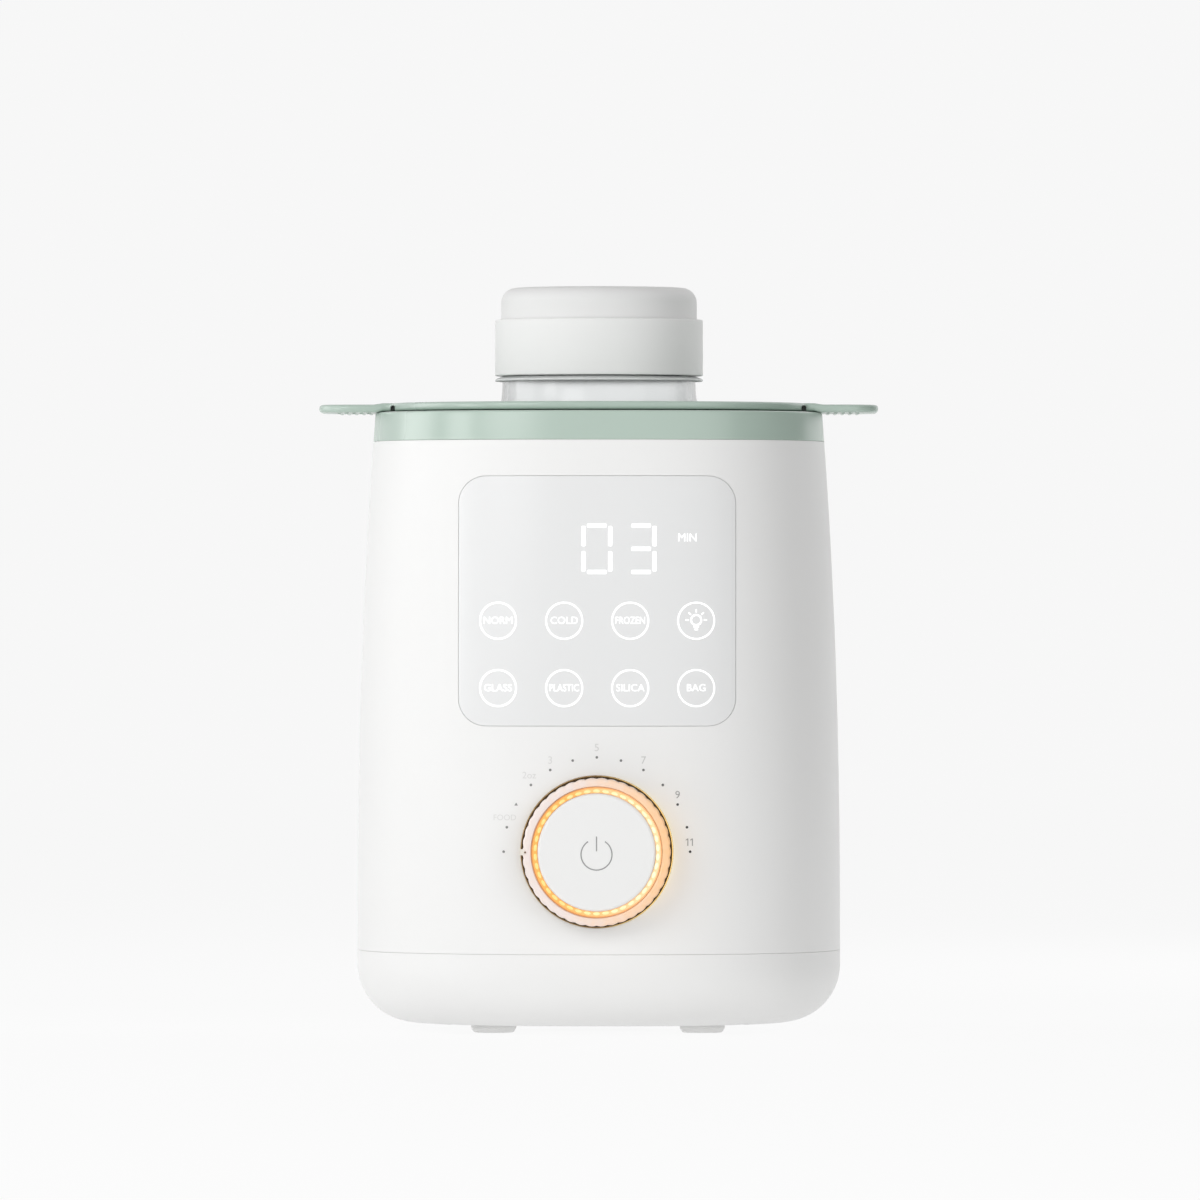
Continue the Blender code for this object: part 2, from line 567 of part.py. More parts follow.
def upper_housing():
    inside = taper_rings(WALL, SEAM_Z, DECK_Z - WALL)
    outside = taper_rings(0, SEAM_Z, DECK_Z)
    housing = loft("upper_housing", inside[::-1] + outside, "white_shell", body_axis)

    bm = bmesh.new()
    for x, y in CORNERS:
        at = (x * BASE_SCREW_OFFSET, y * BASE_SCREW_OFFSET, 0)
        add_lathe(bm, rod_profile(BOSS_RADIUS, SEAM_Z, BOSS_TOP_Z), at, SMALL_STEPS)
    cut_with(housing, make_object("bosses_join", bm, None, body_axis), "UNION")

    bm = bmesh.new()
    rib_reach = plan_point(math.pi / 4, BODY_RADIUS - WALL / 2)[0]
    for x, y in CORNERS:
        rib = bmesh.new()
        add_box(rib, (BASE_SCREW_OFFSET * math.sqrt(2), -BOSS_RIB_THICKNESS / 2, SEAM_Z + LIP_HEIGHT + 2 * GAP),
                (rib_reach * math.sqrt(2), BOSS_RIB_THICKNESS / 2, BOSS_TOP_Z - GAP))
        turn = Matrix.Rotation(math.atan2(y, x), 4, "Z")
        bmesh.ops.transform(rib, matrix=turn, verts=rib.verts)
        part = bpy.data.meshes.new("rib")
        rib.to_mesh(part)
        rib.free()
        bm.from_mesh(part)
    cut_with(housing, make_object("boss_ribs_join", bm, None, body_axis), "UNION")

    bm = bmesh.new()
    for x in (-DISPLAY_POST_X, DISPLAY_POST_X):
        for z in DISPLAY_POST_Z:
            wall_y = -plan_x(x, wall_radius(z) - WALL / 2)
            depth = DISPLAY_BOARD_FRONT_Y - GAP - wall_y
            add_lathe(bm, rod_profile(POST_RADIUS, 0, depth), (x, z, -wall_y - depth), SMALL_STEPS)
    for x, y in CORNERS:
        at_x, at_z = x * DIAL_POST_OFFSET, DIAL_Z + y * DIAL_POST_OFFSET
        wall_y = -plan_x(at_x, wall_radius(at_z) - WALL / 2)
        depth = FACE_Y - DIAL_BOARD_FRONT - GAP - wall_y
        add_lathe(bm, rod_profile(POST_RADIUS, 0, depth), (at_x, at_z, -wall_y - depth), SMALL_STEPS)
    bmesh.ops.transform(bm, matrix=Matrix.Rotation(math.pi / 2, 4, "X"), verts=bm.verts)
    cut_with(housing, make_object("board_posts_join", bm, None, body_axis), "UNION")

    bm = bmesh.new()
    add_lathe(bm, rod_profile(TANK_RADIUS + TANK_WALL + 2 * GAP, DECK_Z - 2 * WALL, DECK_Z + WALL))
    for x, y in CORNERS:
        at = (x * BASE_SCREW_OFFSET, y * BASE_SCREW_OFFSET, 0)
        add_lathe(bm, rod_profile(SCREW_RADIUS + GAP, SEAM_Z - CUT_MARGIN, BASE_SCREW_HOLE_Z), at, SMALL_STEPS)
    cut_with(housing, make_object("housing_holes_cut", bm, None, body_axis))

    recess = rounded_rectangle(WINDOW_WIDTH + 2 * GAP, WINDOW_LOW_Z - GAP, WINDOW_HIGH_Z + GAP,
                               WINDOW_CORNER + GAP)
    recess_tool = front_prism("window_recess_cut", recess, MASK_FRONT_Y / 2, body_axis)
    cut_with(recess_tool, housing_tool("window_ledge_form", WINDOW_THICKNESS + GAP))
    cut_with(housing, recess_tool)
    aperture = rounded_rectangle(APERTURE_WIDTH, APERTURE_LOW_Z, APERTURE_HIGH_Z, APERTURE_CORNER, 2)
    cut_with(housing, front_prism("window_aperture_cut", aperture, MASK_FRONT_Y + MASK_DEPTH, body_axis))

    bm = bmesh.new()
    add_lathe(bm, rod_profile(SEAT_RADIUS + GAP, -SEAT_DEPTH, SEAT_DEPTH))
    for x, y in CORNERS[1:3]:
        at = (x * DIAL_POST_OFFSET, y * DIAL_POST_OFFSET, 0)
        add_lathe(bm, rod_profile(SCREW_RADIUS + GAP, DIAL_BOARD_FRONT - GAP, DIAL_BOARD_FRONT + DIAL_SCREW_HOLE),
                  at, SMALL_STEPS)
    cut_with(housing, make_object("dial_holes_cut", bm, None, dial_axis))

    bm = bmesh.new()
    for x, z in ((DISPLAY_POST_X, DISPLAY_POST_Z[1]), (-DISPLAY_POST_X, DISPLAY_POST_Z[0])):
        add_lathe(bm, rod_profile(SCREW_RADIUS + GAP, -DISPLAY_BOARD_FRONT_Y - GAP,
                                  -DISPLAY_BOARD_FRONT_Y + DISPLAY_SCREW_HOLE), (x, z, 0), SMALL_STEPS)
    bmesh.ops.transform(bm, matrix=Matrix.Rotation(math.pi / 2, 4, "X"), verts=bm.verts)
    cut_with(housing, make_object("display_screw_holes_cut", bm, None, body_axis))

    hole = lathe("gland_hole_cut", rod_profile(GLAND_BARREL + GAP, -2 * WALL, 2 * WALL), None, gland_axis)
    cut_with(housing, hole)


# Trim ring, tank and seal

SEAL_LOW_Z = DECK_Z + GAP
FLANGE_LOW_Z = SEAL_LOW_Z + SEAL_THICKNESS + GAP
FLANGE_RADIUS = TANK_RADIUS + TANK_WALL + TANK_FLANGE_WIDTH
TANK_BOTTOM_Z = TANK_FLOOR_Z - TANK_WALL


def trim_ring():
    low = DECK_Z + GAP
    height = TRIM_TOP_Z - DECK_Z
    top_radius = 2 * BODY_TOP_RADIUS - wall_radius(DECK_Z - height)
    rings = [(BODY_TOP_RADIUS, low), (top_radius, TRIM_TOP_Z - TRIM_EDGE), (top_radius - TRIM_EDGE, TRIM_TOP_Z)]
    trim = loft("trim_ring", rings, "sage_green", body_axis)
    recess_top = FLANGE_LOW_Z + TANK_FLANGE_THICKNESS + GAP
    recess_radius = FLANGE_RADIUS + GAP
    below, above = low - CUT_MARGIN, TRIM_TOP_Z + CUT_MARGIN
    hollow = [(0, below), (recess_radius, below), (recess_radius, recess_top), (TRIM_BORE, recess_top),
              (TRIM_BORE, above), (0, above)]
    cut_with(trim, lathe("trim_hollow_cut", hollow, None, body_axis))


def water_tank():
    outer = TANK_RADIUS + TANK_WALL
    flange_top = FLANGE_LOW_Z + TANK_FLANGE_THICKNESS
    outer_corner = arc((outer - TANK_CORNER, TANK_BOTTOM_Z + TANK_CORNER), TANK_CORNER, -90, 0, 3)
    inner_corner = arc((outer - TANK_CORNER, TANK_BOTTOM_Z + TANK_CORNER), TANK_CORNER - TANK_WALL, 0, -90, 3)
    profile = [(0, TANK_BOTTOM_Z)] + outer_corner
    profile += [(outer, FLANGE_LOW_Z), (FLANGE_RADIUS, FLANGE_LOW_Z), (FLANGE_RADIUS, flange_top)]
    profile += [(TANK_RADIUS, flange_top)] + inner_corner + [(0, TANK_FLOOR_Z)]
    lathe("water_tank", profile, "aluminium", body_axis)
    seal = ring_profile(outer + 2 * GAP, FLANGE_RADIUS, SEAL_LOW_Z, SEAL_LOW_Z + SEAL_THICKNESS)
    lathe("tank_seal", seal, "silicone", body_axis)


# Heater under the tank

PLATE_TOP_Z = TANK_BOTTOM_Z - GAP
PLATE_LOW_Z = PLATE_TOP_Z - HEATING_PLATE_THICKNESS
ELEMENT_LOW_Z = PLATE_LOW_Z - GAP - ELEMENT_THICKNESS
CLAMP_TOP_Z = ELEMENT_LOW_Z - GAP
CLAMP_LOW_Z = CLAMP_TOP_Z - CLAMP_THICKNESS


def heater():
    screw_hole = SCREW_RADIUS + GAP
    plate = lathe("heating_plate", rod_profile(HEATING_PLATE_RADIUS, PLATE_LOW_Z, PLATE_TOP_Z),
                  "aluminium", body_axis)
    clamp = box("heater_clamp", (-CLAMP_LENGTH / 2, -CLAMP_WIDTH / 2, CLAMP_LOW_Z),
                (CLAMP_LENGTH / 2, CLAMP_WIDTH / 2, CLAMP_TOP_Z), "steel", body_axis)
    bm = bmesh.new()
    for x in (-CLAMP_SCREW_X, CLAMP_SCREW_X):
        add_lathe(bm, rod_profile(screw_hole, CLAMP_LOW_Z - CUT_MARGIN, PLATE_TOP_Z - PLATE_SKIN), (x, 0, 0),
                  SMALL_STEPS)
    holes = make_object("clamp_holes_cut", bm, None, body_axis)
    cut_with(plate, holes)
    cut_with(clamp, holes)
    element = ring_profile(ELEMENT_INNER, ELEMENT_OUTER, ELEMENT_LOW_Z, ELEMENT_LOW_Z + ELEMENT_THICKNESS)
    lathe("heater_element", element, "steel", body_axis, PLAN_STEPS)
    head_top = CLAMP_LOW_Z - GAP
    screw = screw_profile(head_top - SCREW_HEAD_HEIGHT, head_top, PLATE_TOP_Z - 2 * PLATE_SKIN)
    for number, x in enumerate((-CLAMP_SCREW_X, CLAMP_SCREW_X), 1):
        lathe(f"heater_screw_{number}", screw, "steel", body_axis, SMALL_STEPS).location = (x, 0, 0)
    under_plate = PLATE_LOW_Z - GAP
    sensor = lathe("temperature_sensor", rod_profile(SENSOR_RADIUS, under_plate - SENSOR_LENGTH, under_plate),
                   "steel", body_axis, SMALL_STEPS)
    sensor.location = (0, (ELEMENT_OUTER + HEATING_PLATE_RADIUS) / 2, 0)
    fuse = lathe("thermal_fuse", rod_profile(FUSE_RADIUS, -FUSE_LENGTH / 2, FUSE_LENGTH / 2), "aluminium",
                 body_axis, SMALL_STEPS)
    fuse.location = (0, FUSE_Y, under_plate - FUSE_RADIUS)
    fuse.rotation_euler = (0, math.pi / 2, 0)


# Power board in the base

def power_board():
    low, high = POWER_BOARD_Z, POWER_BOARD_Z + BOARD_THICKNESS
    half_x, half_y = POWER_BOARD_SIZE[0] / 2, POWER_BOARD_SIZE[1] / 2
    board = box("power_board", (-half_x, POWER_BOARD_Y - half_y, low), (half_x, POWER_BOARD_Y + half_y, high),
                "circuit_board", body_axis)
    bm = bmesh.new()
    for x, y in POWER_SCREWS:
        add_lathe(bm, rod_profile(SCREW_RADIUS + GAP, low - CUT_MARGIN, high + CUT_MARGIN), (x, y, 0), SMALL_STEPS)
    cut_with(board, make_object("power_board_holes_cut", bm, None, body_axis))
    top = high + GAP
    screw = screw_profile(top, top + SCREW_HEAD_HEIGHT, low - POWER_SCREW_BITE)
    for number, (x, y) in enumerate(POWER_SCREWS, 1):
        lathe(f"power_board_screw_{number}", screw, "steel", body_axis, SMALL_STEPS).location = (x, y, 0)

    parts = (("transformer", TRANSFORMER_AT, TRANSFORMER_SIZE, "component_black"),
             ("relay", RELAY_AT, RELAY_SIZE, "component_blue"),
             ("terminal_block", TERMINAL_AT, TERMINAL_SIZE, "moulded_white"))
    for name, (x, y), (wide, deep, tall), finish in parts:
        at_y = POWER_BOARD_Y + y
        box(name, (x - wide / 2, at_y - deep / 2, top), (x + wide / 2, at_y + deep / 2, top + tall),
            finish, body_axis)
    capacitor = lathe("capacitor", rod_profile(CAPACITOR_RADIUS, top, top + CAPACITOR_HEIGHT), "component_black",
                      body_axis, MID_STEPS)
    capacitor.location = (CAPACITOR_AT[0], POWER_BOARD_Y + CAPACITOR_AT[1], 0)


# Touch window, display and its board

def touch_window():
    outline = rounded_rectangle(WINDOW_WIDTH, WINDOW_LOW_Z, WINDOW_HIGH_Z, WINDOW_CORNER)
    window = front_prism("display_window", outline, MASK_FRONT_Y / 2, body_axis)
    window.data.materials.append(MATERIALS["window_grey"])
    cut_with(window, housing_tool("window_outer_form", 0), "INTERSECT")
    cut_with(window, housing_tool("window_inner_form", WINDOW_THICKNESS))

    film_front = WINDOW_THICKNESS + GAP
    film_outline = rounded_rectangle(APERTURE_WIDTH - 2 * FILM_INSET, APERTURE_LOW_Z + FILM_INSET,
                                     APERTURE_HIGH_Z - FILM_INSET, APERTURE_CORNER, 2)
    film = front_prism("touch_film", film_outline, MASK_FRONT_Y / 2, body_axis)
    film.data.materials.append(MATERIALS["film_amber"])
    cut_with(film, housing_tool("film_outer_form", film_front), "INTERSECT")
    cut_with(film, housing_tool("film_inner_form", film_front + FILM_THICKNESS))


def display():
    back = MASK_FRONT_Y + MASK_DEPTH
    inset = 2 * GAP
    mask = box("light_mask", (-APERTURE_WIDTH / 2 + inset, MASK_FRONT_Y, APERTURE_LOW_Z + inset),
               (APERTURE_WIDTH / 2 - inset, back, APERTURE_HIGH_Z - inset), "moulded_white", body_axis)
    bm = bmesh.new()
    add_box(bm, (DIGITS_X - DIGITS_WIDTH / 2 - GAP, MASK_FRONT_Y - CUT_MARGIN, DIGITS_Z - DIGITS_HEIGHT / 2 - GAP),
            (DIGITS_X + DIGITS_WIDTH / 2 + GAP, back + CUT_MARGIN, DIGITS_Z + DIGITS_HEIGHT / 2 + GAP))
    keys = bmesh.new()
    for z in KEY_ROW_Z:
        for column in range(KEY_COLUMNS):
            x = (column - (KEY_COLUMNS - 1) / 2) * KEY_PITCH
            add_lathe(keys, rod_profile(KEY_RADIUS, -back - CUT_MARGIN, -MASK_FRONT_Y + CUT_MARGIN), (x, z, 0),
                      SMALL_STEPS)
    bmesh.ops.transform(keys, matrix=Matrix.Rotation(math.pi / 2, 4, "X"), verts=keys.verts)
    cells = bpy.data.meshes.new("key_cells")
    keys.to_mesh(cells)
    keys.free()
    bm.from_mesh(cells)
    cut_with(mask, make_object("mask_cells_cut", bm, None, body_axis))
    box("digit_module", (DIGITS_X - DIGITS_WIDTH / 2, MASK_FRONT_Y + GAP, DIGITS_Z - DIGITS_HEIGHT / 2),
        (DIGITS_X + DIGITS_WIDTH / 2, back, DIGITS_Z + DIGITS_HEIGHT / 2), "component_black", body_axis)

    front = DISPLAY_BOARD_FRONT_Y
    board_back = front + BOARD_THICKNESS
    board = box("display_board", (-DISPLAY_BOARD_WIDTH / 2, front, DISPLAY_BOARD_LOW_Z),
                (DISPLAY_BOARD_WIDTH / 2, board_back, DISPLAY_BOARD_HIGH_Z), "circuit_board", body_axis)
    places = ((DISPLAY_POST_X, DISPLAY_POST_Z[1]), (-DISPLAY_POST_X, DISPLAY_POST_Z[0]))
    bm = bmesh.new()
    for x, z in places:
        add_lathe(bm, rod_profile(SCREW_RADIUS + GAP, -board_back - CUT_MARGIN, -front + CUT_MARGIN), (x, z, 0),
                  SMALL_STEPS)
    bmesh.ops.transform(bm, matrix=Matrix.Rotation(math.pi / 2, 4, "X"), verts=bm.verts)
    cut_with(board, make_object("display_board_holes_cut", bm, None, body_axis))
    screw = screw_profile(-SCREW_HEAD_HEIGHT, 0, BOARD_THICKNESS + GAP + DISPLAY_SCREW_BITE)
    for number, (x, z) in enumerate(places, 1):
        piece = lathe(f"display_screw_{number}", screw, "steel", body_axis, SMALL_STEPS)
        piece.location = (x, board_back + GAP, z)
        piece.rotation_euler = (math.pi / 2, 0, 0)


# Dial: everything here is turned round the dial's own axis

def dial_seat():
    plate_back = SEAT_PROUD - SEAT_PLATE
    tube = SEAT_RADIUS - SEAT_PLATE + GAP
    flange_front = -SEAT_DEPTH + SEAT_FLANGE_THICKNESS
    bore = ROTOR_RADIUS + GAP
    profile = [(bore, plate_back), (tube, plate_back), (tube, -SEAT_DEPTH), (SEAT_FLANGE_RADIUS, -SEAT_DEPTH),
               (SEAT_FLANGE_RADIUS, flange_front), (SEAT_RADIUS, flange_front), (SEAT_RADIUS, SEAT_PROUD),
               (bore, SEAT_PROUD)]
    lathe("dial_seat", profile, "dark_bronze", dial_axis, FINE_STEPS)


def fluted_outline(radius, depth, count, points_each):
    """Circle whose edge is scooped into round-topped flutes."""
    total = count * points_each
    turns = [2 * math.pi * i / total for i in range(total)]
    radii = [radius - depth * (1 - abs(math.cos(count * t / 2))) for t in turns]
    return [(r * math.cos(t), r * math.sin(t)) for r, t in zip(radii, turns)]


def dial():
    flange_front = -SEAT_DEPTH - GAP
    flange_back = flange_front - ROTOR_FLANGE_THICKNESS
    nose = SEAT_PROUD + GAP
    profile = [(ROTOR_BORE, flange_back), (ROTOR_FLANGE_RADIUS, flange_back), (ROTOR_FLANGE_RADIUS, flange_front),
               (ROTOR_RADIUS, flange_front), (ROTOR_RADIUS, nose), (ROTOR_BORE, nose)]
    rotor = lathe("dial_rotor", profile, "moulded_white", dial_axis, FINE_STEPS)
    bm = bmesh.new()
    for i in range(ROTOR_NOTCHES):
        turn = 2 * math.pi * (i + 0.5) / ROTOR_NOTCHES
        at = (ROTOR_FLANGE_RADIUS * math.cos(turn), ROTOR_FLANGE_RADIUS * math.sin(turn), 0)
        add_lathe(bm, rod_profile(ROTOR_NOTCH_RADIUS, flange_back - CUT_MARGIN, flange_front + GAP), at,
                  ROTOR_NOTCH_STEPS)
    cut_with(rotor, make_object("rotor_notches_cut", bm, None, dial_axis))

    back = nose + GAP
    bm = bmesh.new()
    add_prism(bm, fluted_outline(DIAL_RING_RADIUS, FLUTE_DEPTH, DIAL_FLUTES, FLUTE_POINTS), back, DIAL_RING_FRONT)
    ring = make_object("dial_ring", bm, "dial_clear", dial_axis)
    bore = rod_profile(ROTOR_BORE, back - CUT_MARGIN, DIAL_RING_FRONT + CUT_MARGIN)
    cut_with(ring, lathe("dial_ring_bore_cut", bore, None, dial_axis, DIAL_FLUTES))

    lathe("light_ring", ring_profile(LIGHT_RING_BORE, LIGHT_RING_RADIUS, LIGHT_RING_BACK, LIGHT_RING_FRONT),
          "dial_glow", dial_axis, DIAL_FLUTES)


def dial_inside():
    core_front = SEAT_PROUD
    core_back = core_front - CORE_PLATE
    guide_bore = STEM_RADIUS + GUIDE_CLEARANCE
    profile = [(guide_bore, GUIDE_BACK), (GUIDE_RADIUS, GUIDE_BACK), (GUIDE_RADIUS, core_back),
               (CORE_RADIUS, core_back), (CORE_RADIUS, core_front), (GUIDE_RADIUS, core_front),
               (GUIDE_RADIUS, GUIDE_FRONT), (guide_bore, GUIDE_FRONT)]
    core = lathe("dial_core", profile, "moulded_white", dial_axis)
    bm = bmesh.new()
    for i in range(CORE_LEGS):
        turn = math.pi / 2 + 2 * math.pi * i / CORE_LEGS
        at = (CORE_LEG_CIRCLE * math.cos(turn), CORE_LEG_CIRCLE * math.sin(turn), 0)
        add_lathe(bm, rod_profile(CORE_LEG_RADIUS, DIAL_BOARD_FRONT + GAP, core_back + CORE_PLATE / 2), at,
                  SMALL_STEPS)
    cut_with(core, make_object("core_legs_join", bm, None, dial_axis), "UNION")

    led_back = DIAL_BOARD_FRONT + GAP
    lathe("led_ring", ring_profile(LIGHT_RING_BORE, LIGHT_RING_RADIUS, led_back, LIGHT_RING_BACK - GAP),
          "film_amber", dial_axis, PLAN_STEPS)

    board_back = DIAL_BOARD_FRONT - BOARD_THICKNESS
    board = box("dial_board", (-DIAL_BOARD_HALF, -DIAL_BOARD_HALF, board_back),
                (DIAL_BOARD_HALF, DIAL_BOARD_HALF, DIAL_BOARD_FRONT), "circuit_board", dial_axis)
    places = [(x * DIAL_POST_OFFSET, y * DIAL_POST_OFFSET) for x, y in CORNERS[1:3]]
    bm = bmesh.new()
    for x, y in places:
        add_lathe(bm, rod_profile(SCREW_RADIUS + GAP, board_back - CUT_MARGIN, DIAL_BOARD_FRONT + CUT_MARGIN),
                  (x, y, 0), SMALL_STEPS)
    cut_with(board, make_object("dial_board_holes_cut", bm, None, dial_axis))
    head = board_back - GAP
    screw = screw_profile(head - SCREW_HEAD_HEIGHT, head, DIAL_BOARD_FRONT + DIAL_SCREW_BITE)
    for number, (x, y) in enumerate(places, 1):
        lathe(f"dial_screw_{number}", screw, "steel", dial_axis, SMALL_STEPS).location = (x, y, 0)

    sensor_in = ROTOR_FLANGE_RADIUS + GAP
    box("dial_sensor", (sensor_in, -DIAL_SENSOR_WIDTH / 2, led_back),
        (sensor_in + DIAL_SENSOR_DEPTH, DIAL_SENSOR_WIDTH / 2, -SEAT_DEPTH - 2 * GAP), "component_black", dial_axis)

    press_end = STEM_END - BUTTON_TRAVEL - GAP
    half, body_front = SWITCH_WIDTH / 2, press_end - PLUNGER_HEIGHT
    switch = box("power_switch", (-half, -half, led_back), (half, half, body_front), "component_black", dial_axis)
    plunger = rod_profile(PLUNGER_RADIUS, body_front - PLUNGER_HEIGHT, press_end)
    cut_with(switch, lathe("switch_plunger_join", plunger, None, dial_axis, MID_STEPS), "UNION")


def power_button():
    inside = BUTTON_FRONT - BUTTON_WALL
    skirt = BUTTON_RADIUS - BUTTON_WALL
    rounded = arc((BUTTON_RADIUS - BUTTON_EDGE, BUTTON_FRONT - BUTTON_EDGE), BUTTON_EDGE, 0, 90, 3)
    profile = [(0, STEM_END), (STEM_RADIUS, STEM_END), (STEM_RADIUS, inside), (skirt, inside),
               (skirt, BUTTON_BACK), (BUTTON_RADIUS, BUTTON_BACK)] + rounded + [(0, BUTTON_FRONT)]
    lathe("power_button", profile, "white_shell", dial_axis, FINE_STEPS)

    clip_front = GUIDE_BACK - GAP
    clip = ring_profile(STEM_RADIUS + GAP, STEM_RADIUS + GAP + STEM_CLIP_WIDTH,
                        clip_front - STEM_CLIP_THICKNESS, clip_front)
    lathe("stem_clip", clip, "steel", dial_axis)

    low = GUIDE_FRONT + GAP + SPRING_WIRE / 2
    high = BUTTON_FRONT - BUTTON_WALL - GAP - SPRING_WIRE / 2
    coil_radius = (STEM_RADIUS + GUIDE_RADIUS) / 2 + SPRING_WIRE / 2
    points = SPRING_TURNS * SMALL_STEPS
    curve = bpy.data.curves.new("button_spring", "CURVE")
    curve.dimensions = "3D"
    spline = curve.splines.new("POLY")
    spline.points.add(points)
    for i, point in enumerate(spline.points):
        turn = 2 * math.pi * SPRING_TURNS * i / points
        point.co = (coil_radius * math.cos(turn), coil_radius * math.sin(turn), low + (high - low) * i / points, 1)
    curve.bevel_depth = SPRING_WIRE / 2
    curve.bevel_resolution = 1
    curve.use_fill_caps = True
    curve.materials.append(MATERIALS["steel"])
    spring = bpy.data.objects.new("button_spring", curve)
    spring.parent = dial_axis
    bpy.context.scene.collection.objects.link(spring)


# Cord gland at the rear

def cord_gland():
    inside = -WALL - GLAND_INNER_CLEARANCE
    inner_end = inside - GLAND_INNER_THICKNESS
    profile = [(GLAND_BORE, inner_end), (GLAND_FLANGE, inner_end), (GLAND_FLANGE, inside),
               (GLAND_BARREL, inside), (GLAND_BARREL, GAP), (GLAND_FLANGE, GAP),
               (GLAND_FLANGE - GLAND_EDGE, GLAND_PROUD), (GLAND_BORE, GLAND_PROUD)]
    lathe("cord_gland", profile, "black_rubber", gland_axis)


# Lift-out basket

def rim_outline():
    """Rim plan with a tab on each side, joined by scooped corners."""
    root_y = TAB_HALF_WIDTH + TAB_ROOT_FILLET
    root_x = plan_x(root_y, RIM_RADIUS)
    scoop = arc((root_x + TAB_ROOT_FILLET, root_y), TAB_ROOT_FILLET, 180, 270, 4)
    corner = arc((TAB_REACH - TAB_CORNER, TAB_HALF_WIDTH - TAB_CORNER), TAB_CORNER, 90, 0, 5)
    turns = [math.pi / 2 * (1 - i / RIM_STEPS) for i in range(RIM_STEPS + 1)]
    rim = [plan_point(turn, RIM_RADIUS) for turn in turns]
    quarter = [point for point in rim if point[1] > root_y + GAP] + scoop + corner
    right = quarter + [(x, -y) for x, y in quarter[::-1]]
    return right + [(-x, -y) for x, y in right[1:-1]]


def lift_basket():
    low = TRIM_TOP_Z + GAP
    high = low + RIM_THICKNESS
    bm = bmesh.new()
    add_prism(bm, rim_outline(), low, high)
    basket = make_object("lift_basket", bm, "sage_green", body_axis)

    cage_low = CAGE_FLOOR_Z - CAGE_FLOOR_THICKNESS
    cage = rod_profile(CAGE_RADIUS + CAGE_WALL, cage_low, high - GAP)
    cut_with(basket, lathe("cage_join", cage, None, body_axis, FINE_STEPS), "UNION")
    well = rod_profile(CAGE_RADIUS, CAGE_FLOOR_Z, high + CUT_MARGIN)
    cut_with(basket, lathe("cage_well_cut", well, None, body_axis, FINE_STEPS))

    bm = bmesh.new()
    for side in (-1, 1):
        for i in range(RIB_COUNT):
            x = side * (RIB_FIRST_X + i * RIB_PITCH)
            add_box(bm, (x - RIB_WIDTH / 2, -TAB_HALF_WIDTH + TAB_CORNER / 2, low - RIB_DEPTH),
                    (x + RIB_WIDTH / 2, TAB_HALF_WIDTH - TAB_CORNER / 2, low + RIM_THICKNESS / 2))
    cut_with(basket, make_object("tab_ribs_join", bm, None, body_axis), "UNION")

    bm = bmesh.new()
    for i in range(CAGE_SLOTS):
        slot = bmesh.new()
        add_box(slot, (CAGE_RADIUS - CUT_MARGIN, -CAGE_SLOT_WIDTH / 2, CAGE_SLOT_LOW_Z),
                (CAGE_RADIUS + CAGE_WALL + CUT_MARGIN, CAGE_SLOT_WIDTH / 2, CAGE_SLOT_HIGH_Z))
        turn = Matrix.Rotation(2 * math.pi * (i + 0.5) / CAGE_SLOTS, 4, "Z")
        bmesh.ops.transform(slot, matrix=turn, verts=slot.verts)
        part = bpy.data.meshes.new("slot")
        slot.to_mesh(part)
        slot.free()
        bm.from_mesh(part)
    for i in range(DRAIN_HOLES):
        turn = 2 * math.pi * i / DRAIN_HOLES
        at = (DRAIN_CIRCLE * math.cos(turn), DRAIN_CIRCLE * math.sin(turn), 0)
        add_lathe(bm, rod_profile(DRAIN_RADIUS, cage_low - CUT_MARGIN, CAGE_FLOOR_Z + CUT_MARGIN), at, SMALL_STEPS)
    cut_with(basket, make_object("cage_slots_cut", bm, None, body_axis))


# Feeding bottle: body, domed lid and screw collar

